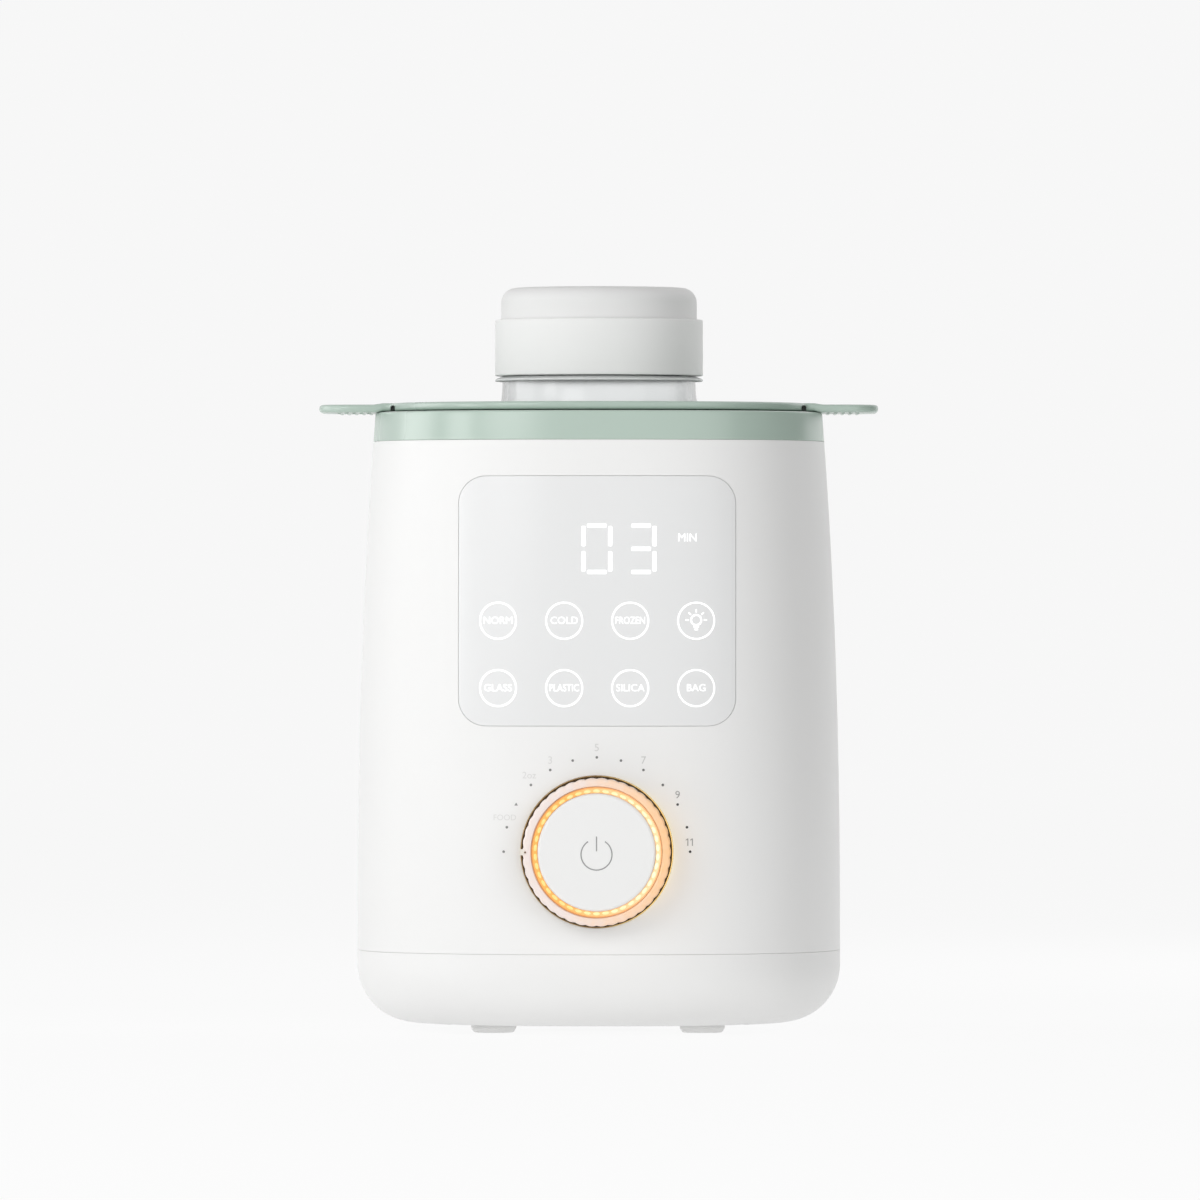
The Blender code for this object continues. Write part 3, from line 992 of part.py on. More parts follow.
def bottle():
    low = CAGE_FLOOR_Z + GAP
    shares = [i / SHOULDER_STEPS for i in range(SHOULDER_STEPS + 1)]
    shoulder = [(NECK_RADIUS + (BOTTLE_RADIUS - NECK_RADIUS) * (1 + math.cos(math.pi * share)) / 2,
                 SHOULDER_LOW_Z + (SHOULDER_HIGH_Z - SHOULDER_LOW_Z) * share) for share in shares]
    outer = [(0, low)] + arc((BOTTLE_RADIUS - BOTTLE_CORNER, low + BOTTLE_CORNER), BOTTLE_CORNER, -90, 0, 3)
    outer += shoulder + [(NECK_RADIUS, NECK_FLANGE_LOW_Z), (NECK_FLANGE_RADIUS, NECK_FLANGE_LOW_Z)]
    outer += [(NECK_FLANGE_RADIUS, NECK_FLANGE_TOP_Z), (FINISH_RADIUS, NECK_FLANGE_TOP_Z), (FINISH_RADIUS, MOUTH_Z)]
    inner_shoulder = [(max(r - BOTTLE_WALL, MOUTH_RADIUS), z) for r, z in shoulder[::-1]]
    inner = [(MOUTH_RADIUS, MOUTH_Z), (MOUTH_RADIUS, NECK_FLANGE_LOW_Z)] + inner_shoulder
    inner += arc((BOTTLE_RADIUS - BOTTLE_CORNER, low + BOTTLE_CORNER), BOTTLE_CORNER - BOTTLE_WALL, 0, -90, 3)
    inner += [(0, low + BOTTLE_WALL)]
    lathe("bottle_body", outer + inner, "clear_bottle", body_axis)

    lid_flange = LID_RADIUS + LID_FLANGE
    flange_low = MOUTH_Z + 2 * GAP
    flange_top = flange_low + LID_FLANGE_THICKNESS
    pocket = lid_flange + GAP
    thread_top = MOUTH_Z + GAP
    collar = [(FINISH_RADIUS + GAP, NECK_FLANGE_TOP_Z + GAP), (COLLAR_RADIUS, NECK_FLANGE_TOP_Z + GAP),
              (COLLAR_RADIUS, COLLAR_TOP_Z), (LID_RADIUS + GAP, COLLAR_TOP_Z),
              (LID_RADIUS + GAP, COLLAR_TOP_Z - COLLAR_LIP), (pocket, COLLAR_TOP_Z - COLLAR_LIP),
              (pocket, thread_top), (FINISH_RADIUS + GAP, thread_top)]
    lathe("bottle_collar", collar, "white_shell", body_axis, FINE_STEPS)

    shoulder_z = LID_TOP_Z - LID_CROWN
    corner = (LID_RADIUS - LID_CORNER, shoulder_z - LID_CORNER)
    inner = arc(corner, LID_CORNER - LID_WALL, 90, 0, 4)
    outer = arc(corner, LID_CORNER, 0, 90, 4)
    lid = [(0, LID_TOP_Z - LID_WALL)] + inner + [(LID_RADIUS - LID_WALL, flange_low)]
    lid += [(lid_flange, flange_low), (lid_flange, flange_top), (LID_RADIUS, flange_top)] + outer
    lathe("bottle_lid", lid + [(0, LID_TOP_Z)], "white_shell", body_axis, FINE_STEPS)


# Leads held inside the housing

def lead(name, points, finish):
    curve = bpy.data.curves.new(name, "CURVE")
    curve.dimensions = "3D"
    spline = curve.splines.new("POLY")
    spline.points.add(len(points) - 1)
    for point, at in zip(spline.points, points):
        point.co = (*at, 1)
    curve.bevel_depth = LEAD_RADIUS
    curve.bevel_resolution = 1
    curve.use_fill_caps = True
    curve.materials.append(MATERIALS[finish])
    piece = bpy.data.objects.new(name, curve)
    piece.parent = body_axis
    bpy.context.scene.collection.objects.link(piece)


def smooth_route(knots, steps):
    """Smooth curve through a few knots, as points close together."""
    points = []
    for i in range(len(knots) - 1):
        a = knots[max(i - 1, 0)]
        b, c = knots[i], knots[i + 1]
        d = knots[min(i + 2, len(knots) - 1)]
        for k in range(steps):
            t = k / steps
            points.append(tuple(0.5 * (2 * q + (r - p) * t + (2 * p - 5 * q + 4 * r - s) * t * t
                                       + (3 * q - p - 3 * r + s) * t ** 3) for p, q, r, s in zip(a, b, c, d)))
    return points + [knots[-1]]


def leads():
    board_back = DISPLAY_BOARD_FRONT_Y + BOARD_THICKNESS
    board_top = POWER_BOARD_Z + BOARD_THICKNESS + GAP
    start = (DISPLAY_CABLE_X, board_back + LEAD_RADIUS + GAP, DISPLAY_BOARD_LOW_Z + DISPLAY_CABLE_INSET)
    board_edge_y = POWER_BOARD_Y - POWER_BOARD_SIZE[1] / 2
    end = (DISPLAY_CABLE_END_X, board_edge_y + DISPLAY_CABLE_INSET, board_top + LEAD_RADIUS)
    lead("display_cable", smooth_route([start, *DISPLAY_CABLE_BENDS, end], LEAD_STEPS), "component_black")

    terminal = (TERMINAL_AT[0], POWER_BOARD_Y + TERMINAL_AT[1])
    terminal_top = board_top + TERMINAL_SIZE[2] + 2 * GAP
    heater_route = [(*terminal, terminal_top), (*terminal, terminal_top + HEATER_LEAD_RISE), HEATER_LEAD_BEND,
                    (*HEATER_LEAD_END, ELEMENT_LOW_Z - HEATER_LEAD_RISE), (*HEATER_LEAD_END, ELEMENT_LOW_Z - 2 * GAP)]
    lead("heater_lead", smooth_route(heater_route, LEAD_STEPS), "lead_red")


base_housing()
feet_and_base_screws()
upper_housing()
trim_ring()
water_tank()
heater()
power_board()
touch_window()
display()
dial_seat()
dial()
dial_inside()
power_button()
cord_gland()
lift_basket()
bottle()
leads()
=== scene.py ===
"""Looks of the bottle warmer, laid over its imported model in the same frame.

Metres, +Z up. The front, with the touch window and the dial, faces -Y.
"""
import json
import math

import bmesh
import bpy
from mathutils import Matrix, Vector


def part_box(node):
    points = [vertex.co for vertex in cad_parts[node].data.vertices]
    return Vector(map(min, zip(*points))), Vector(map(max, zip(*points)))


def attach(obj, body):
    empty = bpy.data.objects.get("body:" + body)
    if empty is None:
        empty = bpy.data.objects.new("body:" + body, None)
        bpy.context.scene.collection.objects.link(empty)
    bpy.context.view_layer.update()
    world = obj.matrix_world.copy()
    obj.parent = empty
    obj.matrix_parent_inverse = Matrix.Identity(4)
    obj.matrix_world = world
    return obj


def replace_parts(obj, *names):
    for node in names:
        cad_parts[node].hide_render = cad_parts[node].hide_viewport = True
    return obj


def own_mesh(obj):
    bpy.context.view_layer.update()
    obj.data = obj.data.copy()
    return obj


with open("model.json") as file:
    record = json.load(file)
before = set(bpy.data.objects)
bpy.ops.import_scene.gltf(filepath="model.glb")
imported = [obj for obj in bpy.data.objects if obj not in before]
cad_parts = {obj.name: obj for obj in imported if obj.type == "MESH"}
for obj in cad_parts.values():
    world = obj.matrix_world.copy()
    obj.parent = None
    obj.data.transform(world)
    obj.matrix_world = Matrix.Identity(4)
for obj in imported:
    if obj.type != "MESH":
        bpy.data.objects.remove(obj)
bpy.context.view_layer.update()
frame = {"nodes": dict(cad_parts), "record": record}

# Camera: it stands level in front of the warmer, with a long lens at about the middle of the
# touch window, and a hair to the right of the body's axis.
tank_low, tank_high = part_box("water_tank")
AXIS_Y = (tank_low.y + tank_high.y) / 2
CAMERA_DISTANCE = 3.8
CAMERA_HEIGHT = 0.1244
CAMERA_SIDE = 0.0003
CAMERA_TURN = math.radians(0.5)
SENSOR_MM = 36
VIEW_WIDTH = 0.348
lens = bpy.data.cameras.new("camera")
lens.sensor_width = SENSOR_MM
lens.lens = SENSOR_MM * CAMERA_DISTANCE / VIEW_WIDTH
camera = bpy.data.objects.new("camera", lens)
camera.location = (CAMERA_SIDE + CAMERA_DISTANCE * math.sin(CAMERA_TURN),
                   AXIS_Y - CAMERA_DISTANCE * math.cos(CAMERA_TURN), CAMERA_HEIGHT)
camera.rotation_euler = (math.pi / 2, 0, CAMERA_TURN)
bpy.context.scene.collection.objects.link(camera)
bpy.context.scene.camera = camera
bpy.context.scene.view_settings.view_transform = "Standard"

# Studio: a pale paper sweep that runs back and up in one curve, evenly lit from behind, so that
# the warmer stands on it with only a faint shadow. Its curve is far behind the warmer.
SWEEP_HALF = 6.0
SWEEP_NEAR, SWEEP_BACK, SWEEP_HEIGHT = -8.0, 7.0, 5.0
SWEEP_BEND, SWEEP_BEND_STEPS = 2.0, 24
PAPER = (0.90, 0.90, 0.90, 1)
PAPER_GLOW = 0.982
PAPER_SHARE, BOUNCE_SHARE = 0.93, 0.46


def set_inputs(node, inputs):
    """Gives a shader node's inputs plain values, or the outputs that feed them."""
    for socket, value in inputs.items():
        if isinstance(value, bpy.types.NodeSocket):
            node.id_data.links.new(value, node.inputs[socket])
        else:
            node.inputs[socket].default_value = value
    return node


def add_node(tree, kind, inputs=None, **settings):
    """New shader node with its settings and inputs."""
    node = tree.nodes.new("ShaderNode" + kind)
    for setting, value in settings.items():
        setattr(node, setting, value)
    return set_inputs(node, inputs or {})


def worked_out(tree, operation, *values):
    """Result of one sum in a shader."""
    return add_node(tree, "Math", dict(enumerate(values)), operation=operation).outputs[0]


def seen_share(tree, seen_value, other_value):
    """One value for what is seen, straight on, mirrored or through glass, and one for other light."""
    path = add_node(tree, "LightPath").outputs
    seen = path["Is Camera Ray"]
    for ray in ("Is Glossy Ray", "Is Transmission Ray"):
        seen = worked_out(tree, "MAXIMUM", seen, path[ray])
    return worked_out(tree, "MULTIPLY_ADD", seen, seen_value - other_value, other_value)


def new_material(name):
    """Material with its own shader."""
    material = bpy.data.materials.new(name)
    material.use_nodes = True
    return material


def rounded(bm, geom, reach, segments, affect="EDGES"):
    """Rounds edges, or the corners of a flat outline."""
    bmesh.ops.bevel(bm, geom=geom, offset=reach, offset_type="OFFSET", affect=affect, segments=segments,
                    profile=0.5, material=-1)


def staged(name, bm, material):
    """Piece of the studio, which is no part of the warmer."""
    mesh = bpy.data.meshes.new(name)
    bm.to_mesh(mesh)
    bm.free()
    mesh.shade_smooth()
    mesh.materials.append(material)
    piece = bpy.data.objects.new(name, mesh)
    bpy.context.scene.collection.objects.link(piece)
    return piece


bm = bmesh.new()
edges = [bm.edges.new([bm.verts.new((x, SWEEP_NEAR, 0)) for x in (-SWEEP_HALF, SWEEP_HALF)])]
for step in ((0, SWEEP_BACK - SWEEP_NEAR, 0), (0, 0, SWEEP_HEIGHT)):
    grown = bmesh.ops.extrude_edge_only(bm, edges=edges)["geom"]
    moved = [item for item in grown if isinstance(item, bmesh.types.BMVert)]
    bmesh.ops.translate(bm, verts=moved, vec=step)
    edges = [edge for edge in bm.edges if all(vert in moved for vert in edge.verts)]
fold = [edge for edge in bm.edges if len(edge.link_faces) == 2]
rounded(bm, fold, SWEEP_BEND, SWEEP_BEND_STEPS)
bmesh.ops.recalc_face_normals(bm, faces=bm.faces)
pale_paper = new_material("pale_paper")
tree = pale_paper.node_tree
tree.nodes.remove(tree.nodes["Principled BSDF"])
matt = add_node(tree, "BsdfDiffuse", {"Color": PAPER})
backlight = add_node(tree, "Emission", {"Strength": PAPER_GLOW})
mixed = add_node(tree, "MixShader", {"Fac": seen_share(tree, PAPER_SHARE, BOUNCE_SHARE),
                                     1: matt.outputs["BSDF"], 2: backlight.outputs["Emission"]})
tree.links.new(mixed.outputs["Shader"], tree.nodes["Material Output"].inputs["Surface"])
staged("paper_sweep", bm, pale_paper)

# Studio light: a large soft box in front to the left, one at the left side, and a tall strip
# between them for the gloss on the green pieces. The fills, edge and top light add no gloss.
ROOM_SEEN, ROOM_LIGHT = 0.935, 0.17
LIGHT_AIM_Z = 0.1
LAMPS = (("key", (-0.742, -1.285, 0.699), (0.7, 0.7), 5.4, True),
         ("side", (-1.500, 0.270, 0.514), (0.9, 0.9), 7.0, True),
         ("strip", (-1.039, -0.600, 0.163), (0.34, 0.6), 2.4, True),
         ("front_fill", (0.651, -1.612, 0.566), (1.6, 1.6), 12.2, False),
         ("right_fill", (1.3, -1.47, 0.5), (1.0, 1.0), 2.3, False),
         ("edge", (0.70, 0.70, 0.27), (0.35, 0.35), 4.4, False),
         ("top", (-0.20, 0.15, 1.70), (1.2, 1.2), 4.5, False))
world = bpy.data.worlds.new("studio")
world.use_nodes = True
room_strength = seen_share(world.node_tree, ROOM_SEEN, ROOM_LIGHT)
set_inputs(world.node_tree.nodes["Background"], {"Color": (1, 1, 1, 1), "Strength": room_strength})
bpy.context.scene.world = world
for name, place, (width, height), watts, glossy in LAMPS:
    lamp = bpy.data.lights.new(name, "AREA")
    lamp.shape = "RECTANGLE"
    lamp.size = width
    lamp.size_y = height
    lamp.energy = watts
    holder = bpy.data.objects.new(name, lamp)
    holder.location = place
    holder.visible_glossy = glossy
    holder.visible_camera = False
    holder.visible_transmission = False
    aim = Vector((0, AXIS_Y, LIGHT_AIM_Z)) - holder.location
    holder.rotation_euler = aim.to_track_quat("-Z", "Y").to_euler()
    bpy.context.scene.collection.objects.link(holder)

# Dark flag: a sheet of black felt on a stand at the right, just out of the picture. It keeps the
# pale room off that side, so that the warmer's roundness shows.
FLAG_X, FLAG_NEAR, FLAG_FAR, FLAG_HEIGHT = 0.42, -0.30, 0.30, 0.5
FELT = (0.02, 0.02, 0.02, 1)


def shaded(material, inputs):
    """Sets or feeds the inputs of a material's own shader."""
    set_inputs(material.node_tree.nodes["Principled BSDF"], inputs)
    return material


bm = bmesh.new()
flag_place = (Matrix.Translation((FLAG_X, (FLAG_NEAR + FLAG_FAR) / 2, FLAG_HEIGHT / 2))
              @ Matrix.Rotation(math.pi / 2, 4, "Y")
              @ Matrix.Diagonal((FLAG_HEIGHT, FLAG_FAR - FLAG_NEAR, 1, 1)))
bmesh.ops.create_grid(bm, x_segments=1, y_segments=1, size=0.5, matrix=flag_place)
black_felt = shaded(new_material("black_felt"), {"Base Color": FELT, "Roughness": 1})
staged("dark_flag", bm, black_felt).visible_camera = False

# Base tray: the lower shell, moulded in white plastic and rounded all round its foot. It screws
# up into the upper housing through four deep recesses, and its floor is slotted to let air in.
BODY_REACH, PLAN_POWER = 0.0699, 2.5
WALL, FINE_GAP = 0.003, 0.0003
SEAM_Z, HAIRLINE, HAIRLINE_ROUND = 0.0234, 0.00004, 0.00016
BASE_LOW_Z, BASE_ROUND, BASE_INNER_ROUND, BASE_STEPS = 0.0025, 0.0165, 0.012, 160
LIP_TOP_Z, LIP_WALL, LIP_ROUND = 0.0264, 0.0018, 0.0003
VENT_SLOTS, VENT_LENGTH, VENT_WIDTH, VENT_PITCH, VENT_END = 5, 0.030, 0.003, 0.007, 0.49
SCREW_OFFSET, SCREW_RECESS = 0.040, 0.0035
FOOT_OFFSET, FOOT_STEM = 0.030, 0.003
CORNERS = ((1, -1), (-1, -1), (1, 1), (-1, 1))
WHITE = (0.865, 0.865, 0.858)
UNEVEN_GLOSS = 0.12
SAME, MERGED = 1e-7, 1e-6
ROUND_STEPS, ROUND_STEP = 4, 0.0015
BLOCK_STEPS = 6
CREASE = 32


def spun(corners, steps, centre=(0, AXIS_Y, 0)):
    """Turned solid. Each corner of its section is a radius, a height and, if any, its rounding."""
    bm = bmesh.new()
    verts = [bm.verts.new((centre[0] + r, centre[1], centre[2] + z)) for r, z, *rounding in corners]
    bm.faces.new(verts)
    for vert, corner in zip(verts, corners):
        for rounding in corner[2:]:
            rounded(bm, [vert], rounding, ROUND_STEPS + int(rounding / ROUND_STEP), "VERTICES")
    bmesh.ops.delete(bm, geom=bm.faces[:], context="FACES_ONLY")
    on_axis = [edge for edge in bm.edges if all(abs(vert.co.x - centre[0]) < SAME for vert in edge.verts)]
    bmesh.ops.delete(bm, geom=on_axis, context="EDGES")
    bmesh.ops.spin(bm, geom=bm.verts[:] + bm.edges[:], cent=centre, axis=(0, 0, 1), angle=2 * math.pi,
                   steps=steps, use_merge=True)
    bmesh.ops.remove_doubles(bm, verts=bm.verts, dist=MERGED)
    bmesh.ops.recalc_face_normals(bm, faces=bm.faces)
    return bm


def squared(bm, beyond=SAME):
    """Swells a round shape into the body's squarish plan, from a radius outwards."""
    for vert in bm.verts:
        x, y = vert.co.x, vert.co.y - AXIS_Y
        reach = math.hypot(x, y)
        if reach > beyond:
            swell = ((abs(x) / reach) ** PLAN_POWER + (abs(y) / reach) ** PLAN_POWER) ** (-1 / PLAN_POWER)
            vert.co.x, vert.co.y = x * swell, AXIS_Y + y * swell
    return bm


def add_block(bm, low, high, rounding, along=2):
    """Block whose edges along one axis are rounded."""
    size = [b - a for a, b in zip(low, high)]
    middle = [(a + b) / 2 for a, b in zip(low, high)]
    place = Matrix.Translation(middle) @ Matrix.Diagonal((*size, 1))
    verts = bmesh.ops.create_cube(bm, size=1, matrix=place)["verts"]
    long_edges = [edge for edge in {edge for vert in verts for edge in vert.link_edges}
                  if abs(edge.verts[0].co[along] - edge.verts[1].co[along]) > size[along] / 2]
    rounded(bm, long_edges, rounding, BLOCK_STEPS)


def add_rod(bm, reach, length, place=Matrix.Identity(4), segments=32):
    """Plain rod, to bore a hole with."""
    bmesh.ops.create_cone(bm, cap_ends=True, segments=segments, radius1=reach, radius2=reach, depth=length,
                          matrix=place)


def combined(shape, tool, operation="DIFFERENCE"):
    """Cuts one closed shape out of another, or joins the two, and uses both up."""
    work = []
    for bm in (shape, tool):
        mesh = bpy.data.meshes.new("work")
        bm.to_mesh(mesh)
        bm.free()
        work.append(bpy.data.objects.new("work", mesh))
        bpy.context.scene.collection.objects.link(work[-1])
    boolean = work[0].modifiers.new("cut", "BOOLEAN")
    boolean.operation = operation
    boolean.solver = "EXACT"
    boolean.object = work[1]
    result = bmesh.new()
    result.from_object(work[0], bpy.context.evaluated_depsgraph_get())
    for piece in work:
        mesh = piece.data
        bpy.data.objects.remove(piece)
        bpy.data.meshes.remove(mesh)
    return result


def finished(name, bm, material, crease=CREASE):
    """Object at the origin, with its place in its mesh, smooth except across sharp folds."""
    bmesh.ops.remove_doubles(bm, verts=bm.verts, dist=SAME)
    mesh = bpy.data.meshes.new(name)
    bm.to_mesh(mesh)
    bm.free()
    mesh.materials.clear()
    mesh.materials.append(material)
    mesh.shade_smooth()
    mesh.set_sharp_from_angle(angle=math.radians(crease))
    piece = bpy.data.objects.new(name, mesh)
    bpy.context.scene.collection.objects.link(piece)
    evened = piece.modifiers.new("evened_shading", "WEIGHTED_NORMAL")
    evened.keep_sharp = True
    return piece


def effect_group(name, *values):
    """Shader node group that takes a colour and some values, and puts out a surface."""
    group = bpy.data.node_groups.new(name, "ShaderNodeTree")
    for in_out, sockets in (("INPUT", values), ("OUTPUT", ("Roughness", "Height"))):
        group.interface.new_socket("Colour", in_out=in_out, socket_type="NodeSocketColor")
        for socket in sockets:
            group.interface.new_socket(socket, in_out=in_out, socket_type="NodeSocketFloat")
    return group, group.nodes.new("NodeGroupInput").outputs, group.nodes.new("NodeGroupOutput")


def tinted(tree, colour, shade, share=1):
    """Colour darkened by a shade, by a share of it."""
    return add_node(tree, "Mix", {"Factor": share, "A": colour, "B": shade}, data_type="RGBA",
                    blend_type="MULTIPLY").outputs["Result"]


moulded_skin, given, out = effect_group("moulded_skin", "Mottle", "Roughness", "Grain")
where = add_node(moulded_skin, "TexCoord").outputs["Object"]
cloud = add_node(moulded_skin, "TexNoise", {"Vector": where, "Scale": 16, "Detail": 3}).outputs["Fac"]
grain = add_node(moulded_skin, "TexNoise",
                 {"Vector": where, "Scale": given["Grain"], "Detail": 4, "Roughness": 0.6}).outputs["Fac"]
blotches = worked_out(moulded_skin, "MULTIPLY", cloud, given["Mottle"])
shade = worked_out(moulded_skin, "SUBTRACT", 1, blotches)
gloss = worked_out(moulded_skin, "MULTIPLY_ADD", cloud, UNEVEN_GLOSS, given["Roughness"])
tint = tinted(moulded_skin, given["Colour"], shade)
set_inputs(out, {"Colour": tint, "Roughness": gloss, "Height": grain})


def with_skin(name, group, values, bump, depth):
    """Material whose colour, roughness and bump come from an effect group."""
    material = new_material(name)
    tree = material.node_tree
    skin = add_node(tree, "Group", values, node_tree=group).outputs
    relief = add_node(tree, "Bump", {"Height": skin["Height"], "Strength": bump, "Distance": depth})
    return shaded(material, {"Base Color": skin["Colour"], "Roughness": skin["Roughness"],
                             "Normal": relief.outputs["Normal"]})


def moulded(name, colour, mottle, roughness, grain, bump, depth=0.00005):
    """Moulded plastic or rubber: how blotchy and rough it is, and the grain that its mould left."""
    values = {"Colour": (*colour, 1), "Mottle": mottle, "Roughness": roughness, "Grain": grain}
    return with_skin(name, moulded_skin, values, bump, depth)


white_shell = moulded("white_shell", WHITE, mottle=0.015, roughness=0.46, grain=2600, bump=0.10)
floor_z = BASE_LOW_Z + WALL
seam_low_z = SEAM_Z - HAIRLINE
lip_reach = BODY_REACH - WALL - FINE_GAP
lip_bore = lip_reach - LIP_WALL
bm = squared(spun([(0, BASE_LOW_Z), (BODY_REACH, BASE_LOW_Z, BASE_ROUND),
                   (BODY_REACH, seam_low_z, HAIRLINE_ROUND), (lip_reach, seam_low_z),
                   (lip_reach, LIP_TOP_Z, LIP_ROUND), (lip_bore, LIP_TOP_Z, LIP_ROUND),
                   (lip_bore, floor_z, BASE_INNER_ROUND), (0, floor_z)], BASE_STEPS))
holes = bmesh.new()
for number in range(VENT_SLOTS):
    y = AXIS_Y + (number - (VENT_SLOTS - 1) / 2) * VENT_PITCH
    add_block(holes, (-VENT_LENGTH / 2, y - VENT_WIDTH / 2, 0),
              (VENT_LENGTH / 2, y + VENT_WIDTH / 2, floor_z + WALL), VENT_WIDTH * VENT_END)
for offset, reach in ((SCREW_OFFSET, SCREW_RECESS), (FOOT_OFFSET, FOOT_STEM + FINE_GAP)):
    for x, y in CORNERS:
        add_rod(holes, reach, 4 * WALL, Matrix.Translation((x * offset, AXIS_Y + y * offset, BASE_LOW_Z)))
base = finished("base_tray", combined(bm, holes), white_shell)
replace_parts(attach(base, "housing"), "base_housing")

# Feet: four small silicone buttons pushed into holes in the tray's floor, pale and slightly
# see-through, with a soft edge where they meet the table.
FOOT_REACH, FOOT_TOP_REACH, FOOT_STEPS = 0.00565, 0.0065, 40
FOOT_EDGE_Z, FOOT_TOP_Z, FOOT_STEM_TOP_Z = 0.0013, 0.0022, 0.0072
FOOT_SOLE_ROUND, FOOT_EDGE_ROUND, FOOT_TOP_ROUND = 0.0004, 0.0003, 0.0002
pale_silicone = moulded("pale_silicone", (0.91, 0.91, 0.90), mottle=0.06, roughness=0.5, grain=1800,
                        bump=0.2)
shaded(pale_silicone, {"Subsurface Weight": 0.2, "Subsurface Radius": (0.001, 0.001, 0.001)})
for number, (x, y) in enumerate(CORNERS, 1):
    bm = spun([(0, 0), (FOOT_REACH, 0, FOOT_SOLE_ROUND), (FOOT_TOP_REACH, FOOT_EDGE_Z, FOOT_EDGE_ROUND),
               (FOOT_TOP_REACH, FOOT_TOP_Z, FOOT_TOP_ROUND), (FOOT_STEM, FOOT_TOP_Z),
               (FOOT_STEM, FOOT_STEM_TOP_Z, FOOT_SOLE_ROUND), (0, FOOT_STEM_TOP_Z)], FOOT_STEPS,
              (x * FOOT_OFFSET, AXIS_Y + y * FOOT_OFFSET, 0))
    foot = finished(f"foot_button_{number}", bm, pale_silicone)
    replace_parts(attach(foot, "housing"), f"foot_{number}")

# Upper housing: one tall white moulding, squarish in plan, that narrows towards the top. It is
# recessed and opened for the touch window, and bored for the dial and for the cord's gland.
DECK_Z, DECK_HOLE = 0.1702, 0.0501
TOP_REACH, TAPER_POWER = 0.0653, 2.3
WALL_LEVELS, BODY_STEPS = 28, 192
HOUSING_ROUND_IN = 0.055
WINDOW_WIDTH, WINDOW_LOW_Z, WINDOW_HIGH_Z, WINDOW_CORNER = 0.0793, 0.0884, 0.1599, 0.008
WINDOW_DEPTH, RECESS_FRONT = 0.0018, -0.004
OPENING_WIDTH, OPENING_LOW_Z, OPENING_HIGH_Z, OPENING_CORNER = 0.068, 0.0935, 0.152, 0.002
DIAL_Z, DIAL_HOLE = 0.0527, 0.0218
GLAND_Z, GLAND_HOLE = 0.036, 0.005
BORE_LENGTH = 0.016
FRONT_PITCH = 0.002
PLATE_CORNER_STEPS, PLATE_EDGE_STEPS = 14, 3


def wall_reach(z):
    """Half width of the body at a height."""
    rise = max(z - SEAM_Z, 0) / (DECK_Z - SEAM_Z)
    return BODY_REACH - (BODY_REACH - TOP_REACH) * rise ** TAPER_POWER


def front_wall(x, z):
    """Where the front of the body is, at a place on it."""
    half = wall_reach(z)
    return AXIS_Y - half * (1 - (abs(x) / half) ** PLAN_POWER) ** (1 / PLAN_POWER)


def split_across(bm, axis, place):
    """Cuts new edges into a shape where a plane across an axis meets it."""
    at, facing = [0, 0, 0], [0, 0, 0]
    at[axis], facing[axis] = place, 1
    bmesh.ops.bisect_plane(bm, geom=bm.verts[:] + bm.edges[:] + bm.faces[:], plane_co=at, plane_no=facing,
                           dist=SAME)


def lay_on_front(bm, pitch=FRONT_PITCH):
    """Cuts a flat shape into small fields and bends it onto the front wall; y is its depth there."""
    for axis in (0, 2):
        places = [vert.co[axis] for vert in bm.verts]
        for number in range(math.ceil(min(places) / pitch), math.floor(max(places) / pitch) + 1):
            split_across(bm, axis, number * pitch)
    for vert in bm.verts:
        vert.co.y += front_wall(vert.co.x, vert.co.z)
    return bm


def raised(bm, step):
    """Gives flat faces a thickness, by a step to their other side."""
    grown = bmesh.ops.extrude_face_region(bm, geom=bm.faces[:])["geom"]
    moved = [item for item in grown if isinstance(item, bmesh.types.BMVert)]
    bmesh.ops.translate(bm, verts=moved, vec=step)
    bmesh.ops.recalc_face_normals(bm, faces=bm.faces)
    return bm


def rounded_plate(width, low, high, corner, front, back, edge=0.0):
    """Upright plate with rounded corners, and its front edge softened."""
    bm = bmesh.new()
    places = ((-width / 2, low), (width / 2, low), (width / 2, high), (-width / 2, high))
    verts = [bm.verts.new((x, front, z)) for x, z in places]
    bm.faces.new(verts)
    rounded(bm, verts, corner, PLATE_CORNER_STEPS, "VERTICES")
    raised(bm, (0, back - front, 0))
    if edge:
        rim = [item for item in bm.edges if all(abs(vert.co.y - front) < SAME for vert in item.verts)]
        rounded(bm, rim, edge, PLATE_EDGE_STEPS)
    return bm


def on_front(bm):
    """Turns a shape made flat on the ground to stand on the dial's axis, facing forwards."""
    place = Matrix.Translation((0, front_wall(0, DIAL_Z), DIAL_Z)) @ Matrix.Rotation(math.pi / 2, 4, "X")
    bmesh.ops.transform(bm, matrix=place, verts=bm.verts)
    return bm


